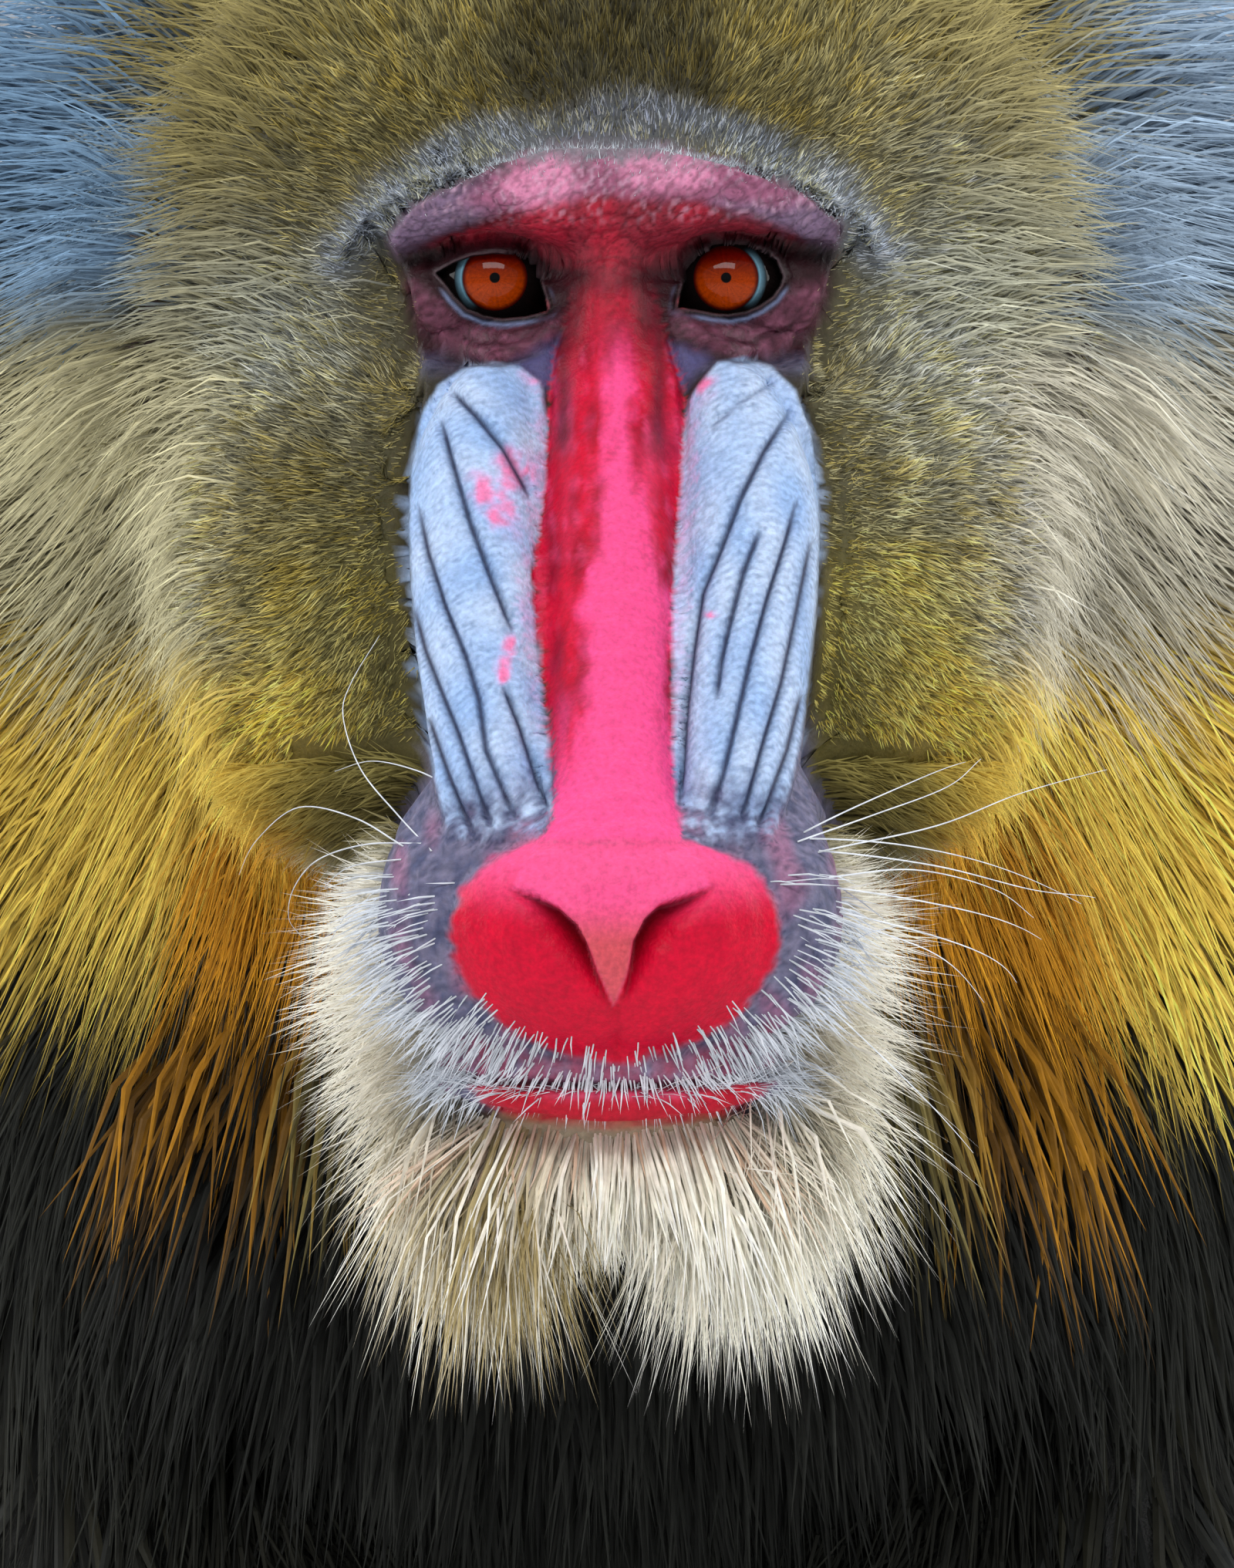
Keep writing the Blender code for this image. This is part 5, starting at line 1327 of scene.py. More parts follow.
    # Painted shade along the folds under the eyes.
    for k, line in enumerate(BAG_FOLDS):
        away, share = along(u, v, line)
        bare = mix(bare, SOCKET_SHADE * 0.6, 0.7 * np.exp(-(away / 4.0) ** 2) * np.sin(math.pi * share))
    for eye in (0, 1):
        value = lid_value(u, v, eye)
        low = step(6, 22, v - EYE_MIDDLES[eye][1])
        bare = mix(bare, LID_SHADE, 0.85 * step(24.0, 5.0, value) * (1 - 0.6 * low))
        bare = mix(bare, LID_RIM, 0.55 * np.exp(-((value - 3.0) / 1.6) ** 2))
        bare = mix(bare, BLACK, 0.85 * low * np.exp(-((value - 5.6) / 1.7) ** 2))
        corner = np.hypot(u - CARUNCLES[eye][0], v - CARUNCLES[eye][1])
        shown = low * step(12, 34, corner)
        bare = mix(bare, LID_PALE, 0.95 * shown * np.exp(-((value - 9.6) / 2.6) ** 2))
        bare = mix(bare, BLACK, step(2.0, 0.6, value))
        bare = mix(bare, CARUNCLE_ROSE, 0.8 * step(11.0, 4.0, corner) * (value > 0))
    coat = coat_colour(points) * 0.45
    chin = step(1448, 1462, v) * step(1600, 1560, v) * band(u, 800, 260, 60) * front
    coat = mix(coat, CHIN_CREAM * 0.8, chin)
    tone = mix(coat, bare, bare_share(points))
    up = points[:, 2]
    tone = mix(tone, PALM_DARK * speckle(count, 5, 0.06)[:, None], step(0.095, 0.078, up))
    tone = mix(tone, EAR_SKIN, near_ears(points))
    rear = points[:, 1] - EYES_Y
    side = np.abs(points[:, 0])
    pad = pad_share(points, 0.026, 0.036)
    around = np.exp(-(side / 0.062) ** 2 - ((up - 0.410) / 0.070) ** 2) * step(0.72, 0.78, rear)
    tone = mix(tone, PAD_BLUE, step(0.25, 0.55, around))
    tone = mix(tone, PAD_PINK, step(0.55, 0.80, around))
    tone = mix(tone, PAD_VIOLET, step(0.35, 0.6, pad))
    return np.clip(tone, 0.0, 1.0)


def piece_from(name, points, triangles, colours, look, smooth=True):
    """A mesh object from arrays, with a colour for each point."""
    mesh = bpy.data.meshes.new(name)
    mesh.vertices.add(len(points))
    mesh.vertices.foreach_set("co", np.ascontiguousarray(points, np.float32).ravel())
    mesh.loops.add(triangles.size)
    mesh.loops.foreach_set("vertex_index", np.ascontiguousarray(triangles, np.int32).ravel())
    mesh.polygons.add(len(triangles))
    mesh.polygons.foreach_set("loop_start", np.arange(0, triangles.size, 3, dtype=np.int32))
    mesh.update(calc_edges=True)
    mesh.polygons.foreach_set("use_smooth", np.full(len(triangles), smooth))
    shades = np.ones((len(points), 4), np.float32)
    shades[:, :3] = colours
    tint = mesh.attributes.new("Tint", "FLOAT_COLOR", "POINT")
    tint.data.foreach_set("color", shades.ravel())
    mesh.materials.append(look)
    made = bpy.data.objects.new(name, mesh)
    bpy.context.scene.collection.objects.link(made)
    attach(made, "root")
    return made


def look_of(name, roughness, scale=600.0, spread=0.12, bump=0.0, bump_scale=900.0, coat=0.0, subsurface=0.0,
            specular=0.5, sheen=0.0):
    """A material whose colour is the piece's own markings, mottled, with a fine bump."""
    made = bpy.data.materials.new(name)
    made.use_nodes = True
    nodes, links = made.node_tree.nodes, made.node_tree.links
    shader = nodes["Principled BSDF"]
    tint = nodes.new("ShaderNodeAttribute")
    tint.attribute_name = "Tint"
    where = nodes.new("ShaderNodeTexCoord")
    noise = nodes.new("ShaderNodeTexNoise")
    noise.inputs["Scale"].default_value = scale
    noise.inputs["Detail"].default_value = 3.0
    links.new(where.outputs["Object"], noise.inputs["Vector"])
    spread_map = nodes.new("ShaderNodeMapRange")
    spread_map.inputs["From Min"].default_value = 0.3
    spread_map.inputs["From Max"].default_value = 0.7
    spread_map.inputs["To Min"].default_value = 1.0 - spread
    spread_map.inputs["To Max"].default_value = 1.0 + spread
    links.new(noise.outputs["Fac"], spread_map.inputs["Value"])
    scaled = nodes.new("ShaderNodeVectorMath")
    scaled.operation = "SCALE"
    links.new(tint.outputs["Color"], scaled.inputs[0])
    links.new(spread_map.outputs["Result"], scaled.inputs["Scale"])
    links.new(scaled.outputs["Vector"], shader.inputs["Base Color"])
    shader.inputs["Roughness"].default_value = roughness
    shader.inputs["Specular IOR Level"].default_value = specular
    shader.inputs["Coat Weight"].default_value = coat
    shader.inputs["Subsurface Weight"].default_value = subsurface
    shader.inputs["Subsurface Scale"].default_value = 0.003
    shader.inputs["Sheen Weight"].default_value = sheen
    if bump:
        grain = nodes.new("ShaderNodeTexNoise")
        grain.inputs["Scale"].default_value = bump_scale
        grain.inputs["Detail"].default_value = 4.0
        links.new(where.outputs["Object"], grain.inputs["Vector"])
        raised = nodes.new("ShaderNodeBump")
        raised.inputs["Strength"].default_value = bump
        raised.inputs["Distance"].default_value = 0.0004
        links.new(grain.outputs["Fac"], raised.inputs["Height"])
        links.new(raised.outputs["Normal"], shader.inputs["Normal"])
    return made


skin_look = look_of("skin_look", 0.46, scale=900.0, spread=0.16, bump=0.55, bump_scale=1500.0,
                    subsurface=0.08, specular=0.18)
coat_look = look_of("coat_look", 0.62, scale=300.0, spread=0.18, bump=0.2, specular=0.12)

FLESH = (
    "head", "muzzle", "nasal_ridge_left", "nasal_ridge_right", "nose", "nose_bridge", "lower_jaw",
    "ear_left", "ear_right", "neck", "torso", "rump", "callosity_left", "callosity_right", "tail",
    "upper_arm_left", "upper_arm_right", "forearm_left", "forearm_right", "hand_left", "hand_right",
    "thigh_left", "thigh_right", "shank_left", "shank_right", "foot_left", "foot_right",
)
skin_piece = piece_from("skin", skin, skin_faces, skin_colour(skin), skin_look)
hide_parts(*FLESH)


IRIS_LOW = srgb(158, 54, 1)
# The upper iris, in the painted shade of the lid.
IRIS_SHADED_TOP = srgb(84, 4, 1)
IRIS_EDGE = srgb(60, 4, 2)
# A pale painted reflection on the rim of the iris.
LIMBUS_REFLECTION = srgb(112, 156, 176)
SCLERA = srgb(16, 10, 10)
IRIS_RADIUS = 0.0063
PUPIL_RADIUS = 0.0011


def eyeball(name, side):
    """A ball with a clear bulge over the iris, looking forward, ringed finely in front."""
    sectors = 96
    centre = np.array(face(side * EYE_SPACING, -EYE_DEPTH, 0.0)[:])
    points, tints = [], []
    angles = np.concatenate([np.linspace(0.0, 0.62, 40)[1:], np.linspace(0.62, math.pi, 22)[1:-1]])
    rng = np.random.default_rng(31 if side > 0 else 32)
    spokes = np.array([sum(math.sin(k * a + p) for k, p in ((23, 1.0), (41, 2.2), (67, 0.4))) / 3
                       for a in np.linspace(0, 2 * math.pi, sectors, endpoint=False)])
    points.append((0.0, -EYE_RADIUS - 0.0006, 0.0))
    tints.append(BLACK)
    for angle in angles:
        away = math.sin(angle) * EYE_RADIUS
        bulge = 0.0006 * max(0.0, 1 - (away / IRIS_RADIUS) ** 2) if angle < 1.5 else 0.0
        for k in range(sectors):
            turn = 2 * math.pi * k / sectors
            points.append((away * math.cos(turn), -math.cos(angle) * (EYE_RADIUS + bulge),
                           away * math.sin(turn)))
            if angle > 1.5 or away > IRIS_RADIUS:
                # A painted reflection: a pale crescent on the outer rim of the iris.
                ring = math.exp(-((away / IRIS_RADIUS - 1.06) / 0.045) ** 2) if angle < 1.5 else 0.0
                share = 0.85 * ring * float(step(0.50, 1.0, side * math.cos(turn)))
                tone = SCLERA * (1 - share) + LIMBUS_REFLECTION * share
            elif away < PUPIL_RADIUS:
                tone = BLACK * 0.1
            else:
                t = (away - PUPIL_RADIUS) / (IRIS_RADIUS - PUPIL_RADIUS)
                # Painted shade of the upper lid over the top of the iris.
                top_shade = float(step(-0.45, 0.75, away / IRIS_RADIUS * math.sin(turn)))
                tone = IRIS_LOW * (1 - top_shade) + IRIS_SHADED_TOP * top_shade
                tone = tone * (1 + 0.20 * spokes[k] + 0.10 * float(rng.normal()))
                edge = float(step(0.80, 1.0, t))
                tone = tone * (1 - edge) + IRIS_EDGE * edge
            tints.append(tone)
    points.append((0.0, EYE_RADIUS, 0.0))
    tints.append(SCLERA)
    faces = [(0, 1 + (k + 1) % sectors, 1 + k) for k in range(sectors)]
    for ring in range(len(angles) - 1):
        low, high = 1 + ring * sectors, 1 + (ring + 1) * sectors
        for k in range(sectors):
            n = (k + 1) % sectors
            faces += [(low + k, low + n, high + n), (low + k, high + n, high + k)]
    last, base = len(points) - 1, 1 + (len(angles) - 1) * sectors
    faces += [(last, base + k, base + (k + 1) % sectors) for k in range(sectors)]
    made = piece_from(name, np.array(points) + centre, np.array(faces),
                      np.clip(np.array(tints), 0, 1), eye_look)
    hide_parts(name.replace("eyeball", "eye"))
    return made


eye_look = look_of("eye_look", 0.08, scale=1500.0, spread=0.10, coat=0.24, specular=0.05)
eye_look.node_tree.nodes["Principled BSDF"].inputs["Coat Roughness"].default_value = 0.02
eyeball("eyeball_left", 1.0)
eyeball("eyeball_right", -1.0)


CORNERS = skin[skin_faces]
FACE_CROSSES = np.cross(CORNERS[:, 1] - CORNERS[:, 0], CORNERS[:, 2] - CORNERS[:, 0])
FACE_AREAS = np.linalg.norm(FACE_CROSSES, axis=1) / 2
FACE_MIDDLES = CORNERS.mean(1)


def unit(vectors):
    """The same directions, each of length 1."""
    return vectors / np.maximum(np.linalg.norm(vectors, axis=1), 1e-9)[:, None]


def spread_roots(count, weight, seed):
    """Roots spread evenly over the skin, more of them where the weight is higher."""
    rng = np.random.default_rng(seed)
    total = np.cumsum(FACE_AREAS * weight)
    picked = np.searchsorted(total, (np.arange(count) + rng.random(count)) / count * total[-1])
    picked = np.minimum(picked, len(total) - 1)
    a, b = rng.random(count), rng.random(count)
    flip = a + b > 1
    a[flip], b[flip] = 1 - a[flip], 1 - b[flip]
    shares = np.stack([1 - a - b, a, b], 1)[:, :, None]
    roots = (skin[skin_faces[picked]] * shares).sum(1)
    ups = (skin_out[skin_faces[picked]] * shares).sum(1)
    return roots, unit(ups), rng


def chart(points):
    """Where points lie on an unwrap: the head and trunk as tubes, and each limb as its own."""
    x, y, z = points.T
    back = y - EYES_Y
    turn = np.arctan2(x, EYES_Y + 0.07 - y) / (2 * math.pi) + 0.5
    head = np.stack([0.5 * turn, 0.5 * np.clip((z - 0.24) / 0.42, 0, 1)], 1)
    turn = np.arctan2(x, z - 0.43) / (2 * math.pi) + 0.5
    trunk = np.stack([0.5 + 0.5 * turn, 0.5 * np.clip((y + 0.30) / 0.82, 0, 1)], 1)
    spot = np.where((back > 0.13)[:, None], trunk, head)
    limb = (z < 0.30) & (np.abs(x) > 0.045) & (back > 0.10)
    hind = back > 0.45
    middle = np.where(hind, EYES_Y + 0.66, EYES_Y + 0.21)
    turn = np.arctan2(np.abs(x) - 0.103, y - middle) / (2 * math.pi) + 0.5
    tile = hind * 2 + (x > 0)
    leg = np.stack([0.25 * (tile + turn), 0.5 + 0.5 * np.clip(z / 0.30, 0, 1)], 1)
    return 0.004 + 0.992 * np.where(limb[:, None], leg, spot)


ROOT_DEPTH = 0.0007
FLATNESS = 0.45
MOST_TRIANGLES = 195000
PATCH = 0.003
REACH = 0.008
PROFILES = {1: (1.0,), 2: (0.8, 1.0), 3: (0.7, 1.0, 0.75), 4: (0.6, 1.0, 0.9, 0.55)}


def within_reach(roots, shaft, lengths):
    """Shortens the locks whose tips would pass the model's own box."""
    low, high = np.array(cad_box[0]) - REACH, np.array(cad_box[1]) + REACH
    low[2] = 0.004
    ends = roots + shaft * lengths[:, None]
    past = np.where(shaft > 0, (high - roots) / np.maximum(ends - roots, 1e-9),
                    (low - roots) / np.minimum(ends - roots, -1e-9))
    return lengths * np.clip(past.min(1), 0.25, 1.0)


def tufts(name, roots, ups, ways, lengths, widths, rises, bends, base, tips, rings=1):
    """Closed three-sided locks of hair, which bend as they go and taper to a point."""
    count = len(roots)
    ways = unit(ways - ups * (ways * ups).sum(1)[:, None])
    shaft = ways * np.cos(rises)[:, None] + ups * np.sin(rises)[:, None]
    lengths = within_reach(roots, unit(shaft + bends * 0.5), lengths)
    spine = [roots - ups * ROOT_DEPTH]
    bodies, shades, spots = [], [], []
    place = chart(roots)
    for k in range(rings):
        run = unit(shaft + bends * (k / max(rings - 1, 1)) * 0.9)
        across = unit(np.cross(ups, run))
        above = np.cross(run, across)
        half = (widths * PROFILES[rings][k] / 2)[:, None]
        here = spine[-1]
        bodies += [here + across * half, here + above * half * FLATNESS, here - across * half]
        share = k / rings
        tone = base * (1 - share) + tips * share
        shades += [tone, tone, tone]
        for j in (-1, 0, 1):
            spots.append(place + np.array([j * 0.35, share - 0.5]) * PATCH)
        spine.append(here + run * (lengths / rings)[:, None])
    bodies.append(spine[-1])
    shades.append(tips)
    spots.append(place + np.array([0.0, 0.5]) * PATCH)
    size = 3 * rings + 1
    points = np.stack(bodies, 1).reshape(-1, 3)
    tones = np.stack(shades, 1).reshape(-1, 3)
    uvs = np.stack(spots, 1).reshape(-1, 2)
    shape = [(0, 2, 1)]
    for k in range(rings - 1):
        for j in range(3):
            n = (j + 1) % 3
            shape += [(3 * k + j, 3 * k + n, 3 * k + 3 + n), (3 * k + j, 3 * k + 3 + n, 3 * k + 3 + j)]
    top = 3 * (rings - 1)
    shape += [(top + j, top + (j + 1) % 3, size - 1) for j in range(3)]
    shape = np.array(shape)
    limit = MOST_TRIANGLES // len(shape)
    for part, start in enumerate(range(0, count, limit)):
        some = min(limit, count - start)
        low, high = start * size, (start + some) * size
        triangles = (np.arange(some)[:, None, None] * size + shape[None]).reshape(-1, 3)
        made = piece_from(f"{name}_{part + 1}" if count > limit else name, points[low:high], triangles,
                          np.clip(tones[low:high], 0, 1), coat_look, smooth=False)
        layer = made.data.uv_layers.new(name="OFBake")
        corners = uvs[low:high][triangles.ravel()]
        layer.data.foreach_set("uv", np.ascontiguousarray(corners, np.float32).ravel())
    return spine[-1]


def drift(points, size, seed):
    """A smooth sideways wander, as hair has in clumps."""
    return np.stack([waves(points, size, seed + k) for k in range(3)], 1)


def hair_way(points):
    """The lie of the coat: out from the face, back along the trunk and down the limbs."""
    x, y, z = points.T
    back = y - EYES_Y
    u, v = photo(points)
    dx, dz = (u - 792) / 400, -(v - 600) / 400
    far = np.maximum(np.hypot(dx, dz), 0.15)
    radial = np.stack([dx / far, np.zeros(len(x)), dz / far], 1)
    head = radial + np.array([0.0, 0.75, -0.05])
    side = np.sign(x) * np.minimum(1, np.abs(x) / 0.08)
    trunk = np.stack([0.30 * side, np.ones(len(x)), -0.40 - 0.55 * np.abs(side)], 1)
    low = step(0.06, -0.04, z - EYES_Z)[:, None]
    mane = radial * (0.75 + 0.25 * low) + np.array([0.0, 0.85, -0.10]) + low * np.array([0.0, -0.35, -0.55])
    limb = np.tile(np.array([0.0, 0.35, -1.0]), (len(x), 1))
    way = mix(head, mane, step(0.03, 0.09, back))
    way = mix(way, trunk, step(0.17, 0.26, back))
    way = mix(way, limb, step(0.38, 0.28, z) * step(0.045, 0.07, np.abs(x)) * step(0.10, 0.16, back))
    tail = step(0.795, 0.805, back) * step(0.49, 0.51, z)
    way = mix(way, np.tile(np.array([0.0, 0.6, 0.8]), (len(x), 1)), tail)
    return unit(way) + 0.20 * drift(points, 0.020, 41) + 0.16 * drift(points, 0.006, 44)


YELLOW_CAST = np.array([1.22, 1.06, 0.42])
GREY_CAST = np.array([0.94, 1.0, 1.22])


def agouti(tone, points, rng, pale=0.26, dark=0.24, spread=0.25, contrast=1.0, hues=0.0):
    """Some locks pale and some dark, in loose clumps: the colours of their roots and tips."""
    count = len(tone)
    pick = rng.random(count)
    shade = rng.uniform(0.85, 1.15, count)
    shade = np.where(pick < pale, rng.uniform(1.5, 2.1, count), shade)
    shade = np.where(pick > 1 - dark, rng.uniform(0.35, 0.55, count), shade)
    shade = 1 + contrast * (shade - 1)
    shade = shade * (1 + spread * waves(points, 0.0045, 51) + 0.6 * spread * waves(points, 0.012, 52))
    tips = tone * np.maximum(shade, 0.2)[:, None]
    if hues:
        cast = rng.random(count) + 0.35 * waves(points, 0.009, 53)
        tips = mix(tips, tips * YELLOW_CAST, 0.7 * hues * step(0.60, 0.90, cast))
        tips = mix(tips, tips * GREY_CAST, hues * step(0.40, 0.15, cast))
    return tips * 0.35, tips


middles_u, middles_v = photo(FACE_MIDDLES)
face_bare = bare_share(FACE_MIDDLES)
face_back = FACE_MIDDLES[:, 1] - EYES_Y
face_up = FACE_MIDDLES[:, 2]
face_out = unit(FACE_CROSSES)
naked_ear = near_ears(FACE_MIDDLES) * step(0.55, 0.15, -face_out[:, 1])
furry = (1 - step(0.25, 0.65, face_bare)) * step(0.070, 0.082, face_up) * (1 - naked_ear)
face_aside = np.abs(FACE_MIDDLES[:, 0])
rump_bare = blob(face_aside, face_up, 0.0, 0.404, 0.060, 0.062) * step(0.74, 0.78, face_back)
furry = furry * (1 - step(0.30, 0.55, rump_bare))
is_head = step(0.125, 0.100, face_back) * (face_up > 0.30)
jaw_area = (EYES_Z - face_up > 0.088) & (face_back < 0.075) & (face_aside < 0.062)


# How many locks each part of the coat has, and the seed of its own draws.
LOCKS = {
    "coat_head": (106000, 101),
    "coat_brow": (6500, 109),
    "mane": (34000, 102),
    "coat_body": (18500, 103),
    "coat_chest": (10500, 108),
    "coat_limbs": (18500, 104),
    "muzzle_fringe": (19000, 105),
    "beard": (9500, 106),
    "bristles": (6500, 107),
}


def grown(part, weight):
    count, seed = LOCKS[part]
    return spread_roots(count, weight, seed)


def swayed(rng, count, lean, scale):
    """How each lock bends: the same lean for all, and a little of its own."""
    return np.tile(np.array(lean), (count, 1)) + rng.normal(scale=scale, size=(count, 3))


# The short coat of the head.
weight = furry * is_head * (1 - jaw_area) * (0.25 + 0.75 * step(0.040, -0.020, face_back))
roots, ups, rng = grown("coat_head", weight)
u, v = photo(roots)
edge, _ = along(u, v, BARE_OUTLINE + BARE_OUTLINE[:1])
front = front_of_head(roots)
near = np.where(front > 0.5, edge, 200.0)
lengths = 0.0028 + 0.0016 * step(5, 120, near) + 0.008 * step(160, 420, near)
lengths *= rng.uniform(0.7, 1.3, len(roots))
widths = (0.00046 + 0.00016 * step(30, 200, near)) * rng.uniform(0.75, 1.3, len(roots))
rises = np.radians(rng.uniform(16, 44, len(roots)))
ways = hair_way(roots) + 0.18 * drift(roots, 0.0035, 47) + rng.normal(scale=0.22, size=(len(roots), 3))
bends = rng.normal(scale=0.12, size=(len(roots), 3))
tone = coat_colour(roots + unit(ways) * lengths[:, None] * 0.6) * 1.75
base, tips = agouti(tone, roots, rng, pale=0.28, dark=0.26, spread=0.28, hues=0.8)
tufts("coat_head", roots, ups, ways, lengths, widths, rises, bends, base, tips)

# Fine pale hairs over the brow and at the edges of the bare skin.
edge, _ = along(middles_u, middles_v, BARE_OUTLINE + BARE_OUTLINE[:1])
temples = step(34, 6, edge) * step(520, 470, middles_v)
weight = (face_bare > 0.25) * (0.9 * step(292, 205, middles_v) + 0.7 * temples)
roots, ups, rng = grown("coat_brow", weight)
count = len(roots)
u, v = photo(roots)
lengths = (0.0013 + 0.0010 * step(250, 200, v)) * rng.uniform(0.7, 1.4, count)
widths = 0.00026 * rng.uniform(0.7, 1.4, count)
rises = np.radians(rng.uniform(12, 34, count))
ways = hair_way(roots) + rng.normal(scale=0.25, size=(count, 3))
bends = rng.normal(scale=0.1, size=(count, 3))
tone = mix(1.75 * coat_colour(roots), SILVER * 1.9, step(330, 290, v))
base, tips = agouti(tone, roots, rng, pale=0.3, dark=0.12)
tufts("coat_brow", roots, ups, ways, lengths, widths, rises, bends, tips * 0.6, tips)


# Longer hair round the cheeks, the back of the head, the neck and the shoulders: the ruff and mane.
around = step(0.015, 0.050, face_back) * step(0.26, 0.17, face_back)
collar = furry * np.clip(around, 0, 1) * (face_up > 0.28)
collar = collar * (1 - jaw_area) * (1 + 2.0 * step(0.62, 0.54, face_up) * step(0.16, 0.10, face_back))
roots, ups, rng = grown("mane", collar)
count = len(roots)
back = roots[:, 1] - EYES_Y
lengths = (0.022 + 0.036 * step(0.02, 0.13, back)) * rng.uniform(0.7, 1.2, count)
widths = (0.00044 + 0.00045 * step(0.12, 0.20, back)) * rng.uniform(0.7, 1.3, count)
shoulder = step(0.12, 0.16, back) * step(0.075, 0.11, np.abs(roots[:, 0])) * step(0.46, 0.50, roots[:, 2])
rises = np.radians(rng.uniform(12, 30, count) + 26 * shoulder)
ways = hair_way(roots)
bends = swayed(rng, count, (0.0, 0.05, -0.45), 0.08)
middle_of_lock = roots + unit(ways) * lengths[:, None] * np.array([0.6, 0.1, 0.6])
tone = 1.75 * coat_colour(middle_of_lock)
base, tips = agouti(tone, roots, rng, pale=0.10, dark=0.08, spread=0.10, contrast=0.6)
tufts("mane", roots, ups, ways, lengths, widths, rises, bends, base * 1.5, tips, rings=2)

# The coat of the trunk, rump and tail.
trunk = furry * step(0.15, 0.20, face_back) * (face_up > 0.24)
roots, ups, rng = grown("coat_body", trunk)
count = len(roots)
back = roots[:, 1] - EYES_Y
lengths = 0.026 + 0.014 * step(0.45, 0.15, back) + 0.010 * step(0.34, 0.28, roots[:, 2])
lengths *= step(0.86, 0.80, back) * 0.6 + 0.4
lengths *= rng.uniform(0.7, 1.2, count)
widths = 0.0023 * rng.uniform(0.7, 1.3, count)
rises = np.radians(rng.uniform(8, 22, count))
ways = hair_way(roots)
bends = swayed(rng, count, (0.0, 0.0, -0.15), 0.12)
base, tips = agouti(1.5 * coat_colour(roots), roots, rng, pale=0.16, dark=0.18, contrast=0.55, hues=0.5)
tufts("coat_body", roots, ups, ways, lengths, widths, rises, bends, base, tips, rings=2)

# Long hair of the chest hangs between the arms.
chest = (face_back > 0.09) & (face_back < 0.25) & (face_up < 0.36) & (face_aside < 0.085)
chest = furry * chest * (face_up > 0.23) * (1 + 2.0 * step(0.33, 0.27, face_up))
roots, ups, rng = grown("coat_chest", chest)
count = len(roots)
lengths = (0.066 + 0.014 * step(0.33, 0.27, roots[:, 2])) * rng.uniform(0.7, 1.1, count)
widths = 0.0015 * rng.uniform(0.7, 1.3, count)
rises = np.radians(rng.uniform(15, 60, count))
ways = np.stack([roots[:, 0] * 7.0, np.full(count, 0.10), np.full(count, -1.0)], 1)
ways = ways + 0.3 * drift(roots, 0.02, 61)
bends = swayed(rng, count, (0.0, 0.0, -1.2), 0.22)
base, tips = agouti(1.1 * coat_colour(roots), roots, rng, pale=0.05, dark=0.2)
tufts("coat_chest", roots, ups, ways, lengths, widths, rises, bends, base, tips, rings=2)

# The shorter coat of the limbs.
limbs = furry * step(0.30, 0.27, face_up) * step(0.04, 0.06, face_aside) * step(0.10, 0.14, face_back)
roots, ups, rng = grown("coat_limbs", limbs)
count = len(roots)
inner = step(0.2, 0.7, -np.sign(roots[:, 0]) * ups[:, 0]) * step(0.32, 0.28, roots[:, 1] - EYES_Y)
lengths = 0.008 + 0.012 * step(0.09, 0.22, roots[:, 2]) + 0.016 * inner * step(0.16, 0.22, roots[:, 2])
lengths *= rng.uniform(0.75, 1.25, count)
widths = 0.0012 * rng.uniform(0.7, 1.3, count)
rises = np.radians(rng.uniform(8, 20, count))
ways = hair_way(roots)
bends = rng.normal(scale=0.1, size=(count, 3))
base, tips = agouti(1.2 * coat_colour(roots), roots, rng, pale=0.14)
tufts("coat_limbs", roots, ups, ways, lengths, widths, rises, bends, base, tips)


def jaw_way(points, middle=(800.0, 1180.0)):
    """Hair of the muzzle and jaw runs away from the nose, and down under the chin."""
    u, v = photo(points)
    dx, dz = u - middle[0], -(v - middle[1])
    far = np.maximum(np.hypot(dx, dz), 1.0)
    return np.stack([dx / far, np.full(len(u), 0.25), dz / far], 1)


def jaw_tone(points):
    """White along the jaw and olive above it; the yellow under the chin comes with the beard."""
    u, v = photo(points)
    tone = np.tile(BEARD, (len(points), 1))
    tone = mix(tone, BRISTLE * 0.80, np.clip(step(1030, 1100, u) + step(570, 500, u), 0, 1))
    tone = mix(tone, CREAM, 0.7 * step(1170, 1110, v))
    return mix(tone, coat_colour(points), step(1130, 1070, v))


forward = -face_back
drop = EYES_Z - face_up
fringed = (1 - step(0.30, 0.70, face_bare)) * (drop > 0.095) * (face_back < 0.075)
fringed = fringed * (face_aside < 0.070)

# The white fringe round the muzzle: dense fur along its sides and under it.
fringe = fringed * (0.6 + step(0.03, 0.045, face_aside)) * (forward > -0.05)
roots, ups, rng = grown("muzzle_fringe", fringe)
count = len(roots)
u, v = photo(roots)
aside = step(0.25, 0.75, np.abs(ups[:, 0]))
lengths = 0.012 + 0.007 * step(1120, 1250, v) + 0.013 * aside * step(1110, 1220, v)
lengths += 0.008 * step(1050, 1110, u) * step(1110, 1200, v)
lengths *= rng.uniform(0.55, 1.2, count)
lengths *= 1 - 0.4 * np.exp(-((v - 1480) / 22) ** 2)
widths = 0.00052 * rng.uniform(0.7, 1.3, count)
rises = np.radians(rng.uniform(18, 46, count) + 22 * aside)
ways = jaw_way(roots) + 0.25 * drift(roots, 0.008, 71)
bends = swayed(rng, count, (0.0, 0.05, -0.25), 0.22)
under_lip = np.exp(-((v - 1462) / 16) ** 2) * band(u, 800, 220, 60)
tone = mix(1.6 * jaw_tone(roots), CHIN_ORANGE * 1.3, 0.6 * under_lip)
base, tips = agouti(tone, roots, rng, pale=0.0, dark=0.0, spread=0.08)
tufts("muzzle_fringe", roots, ups, ways, lengths, widths, rises, bends, base * 1.8, tips, rings=2)

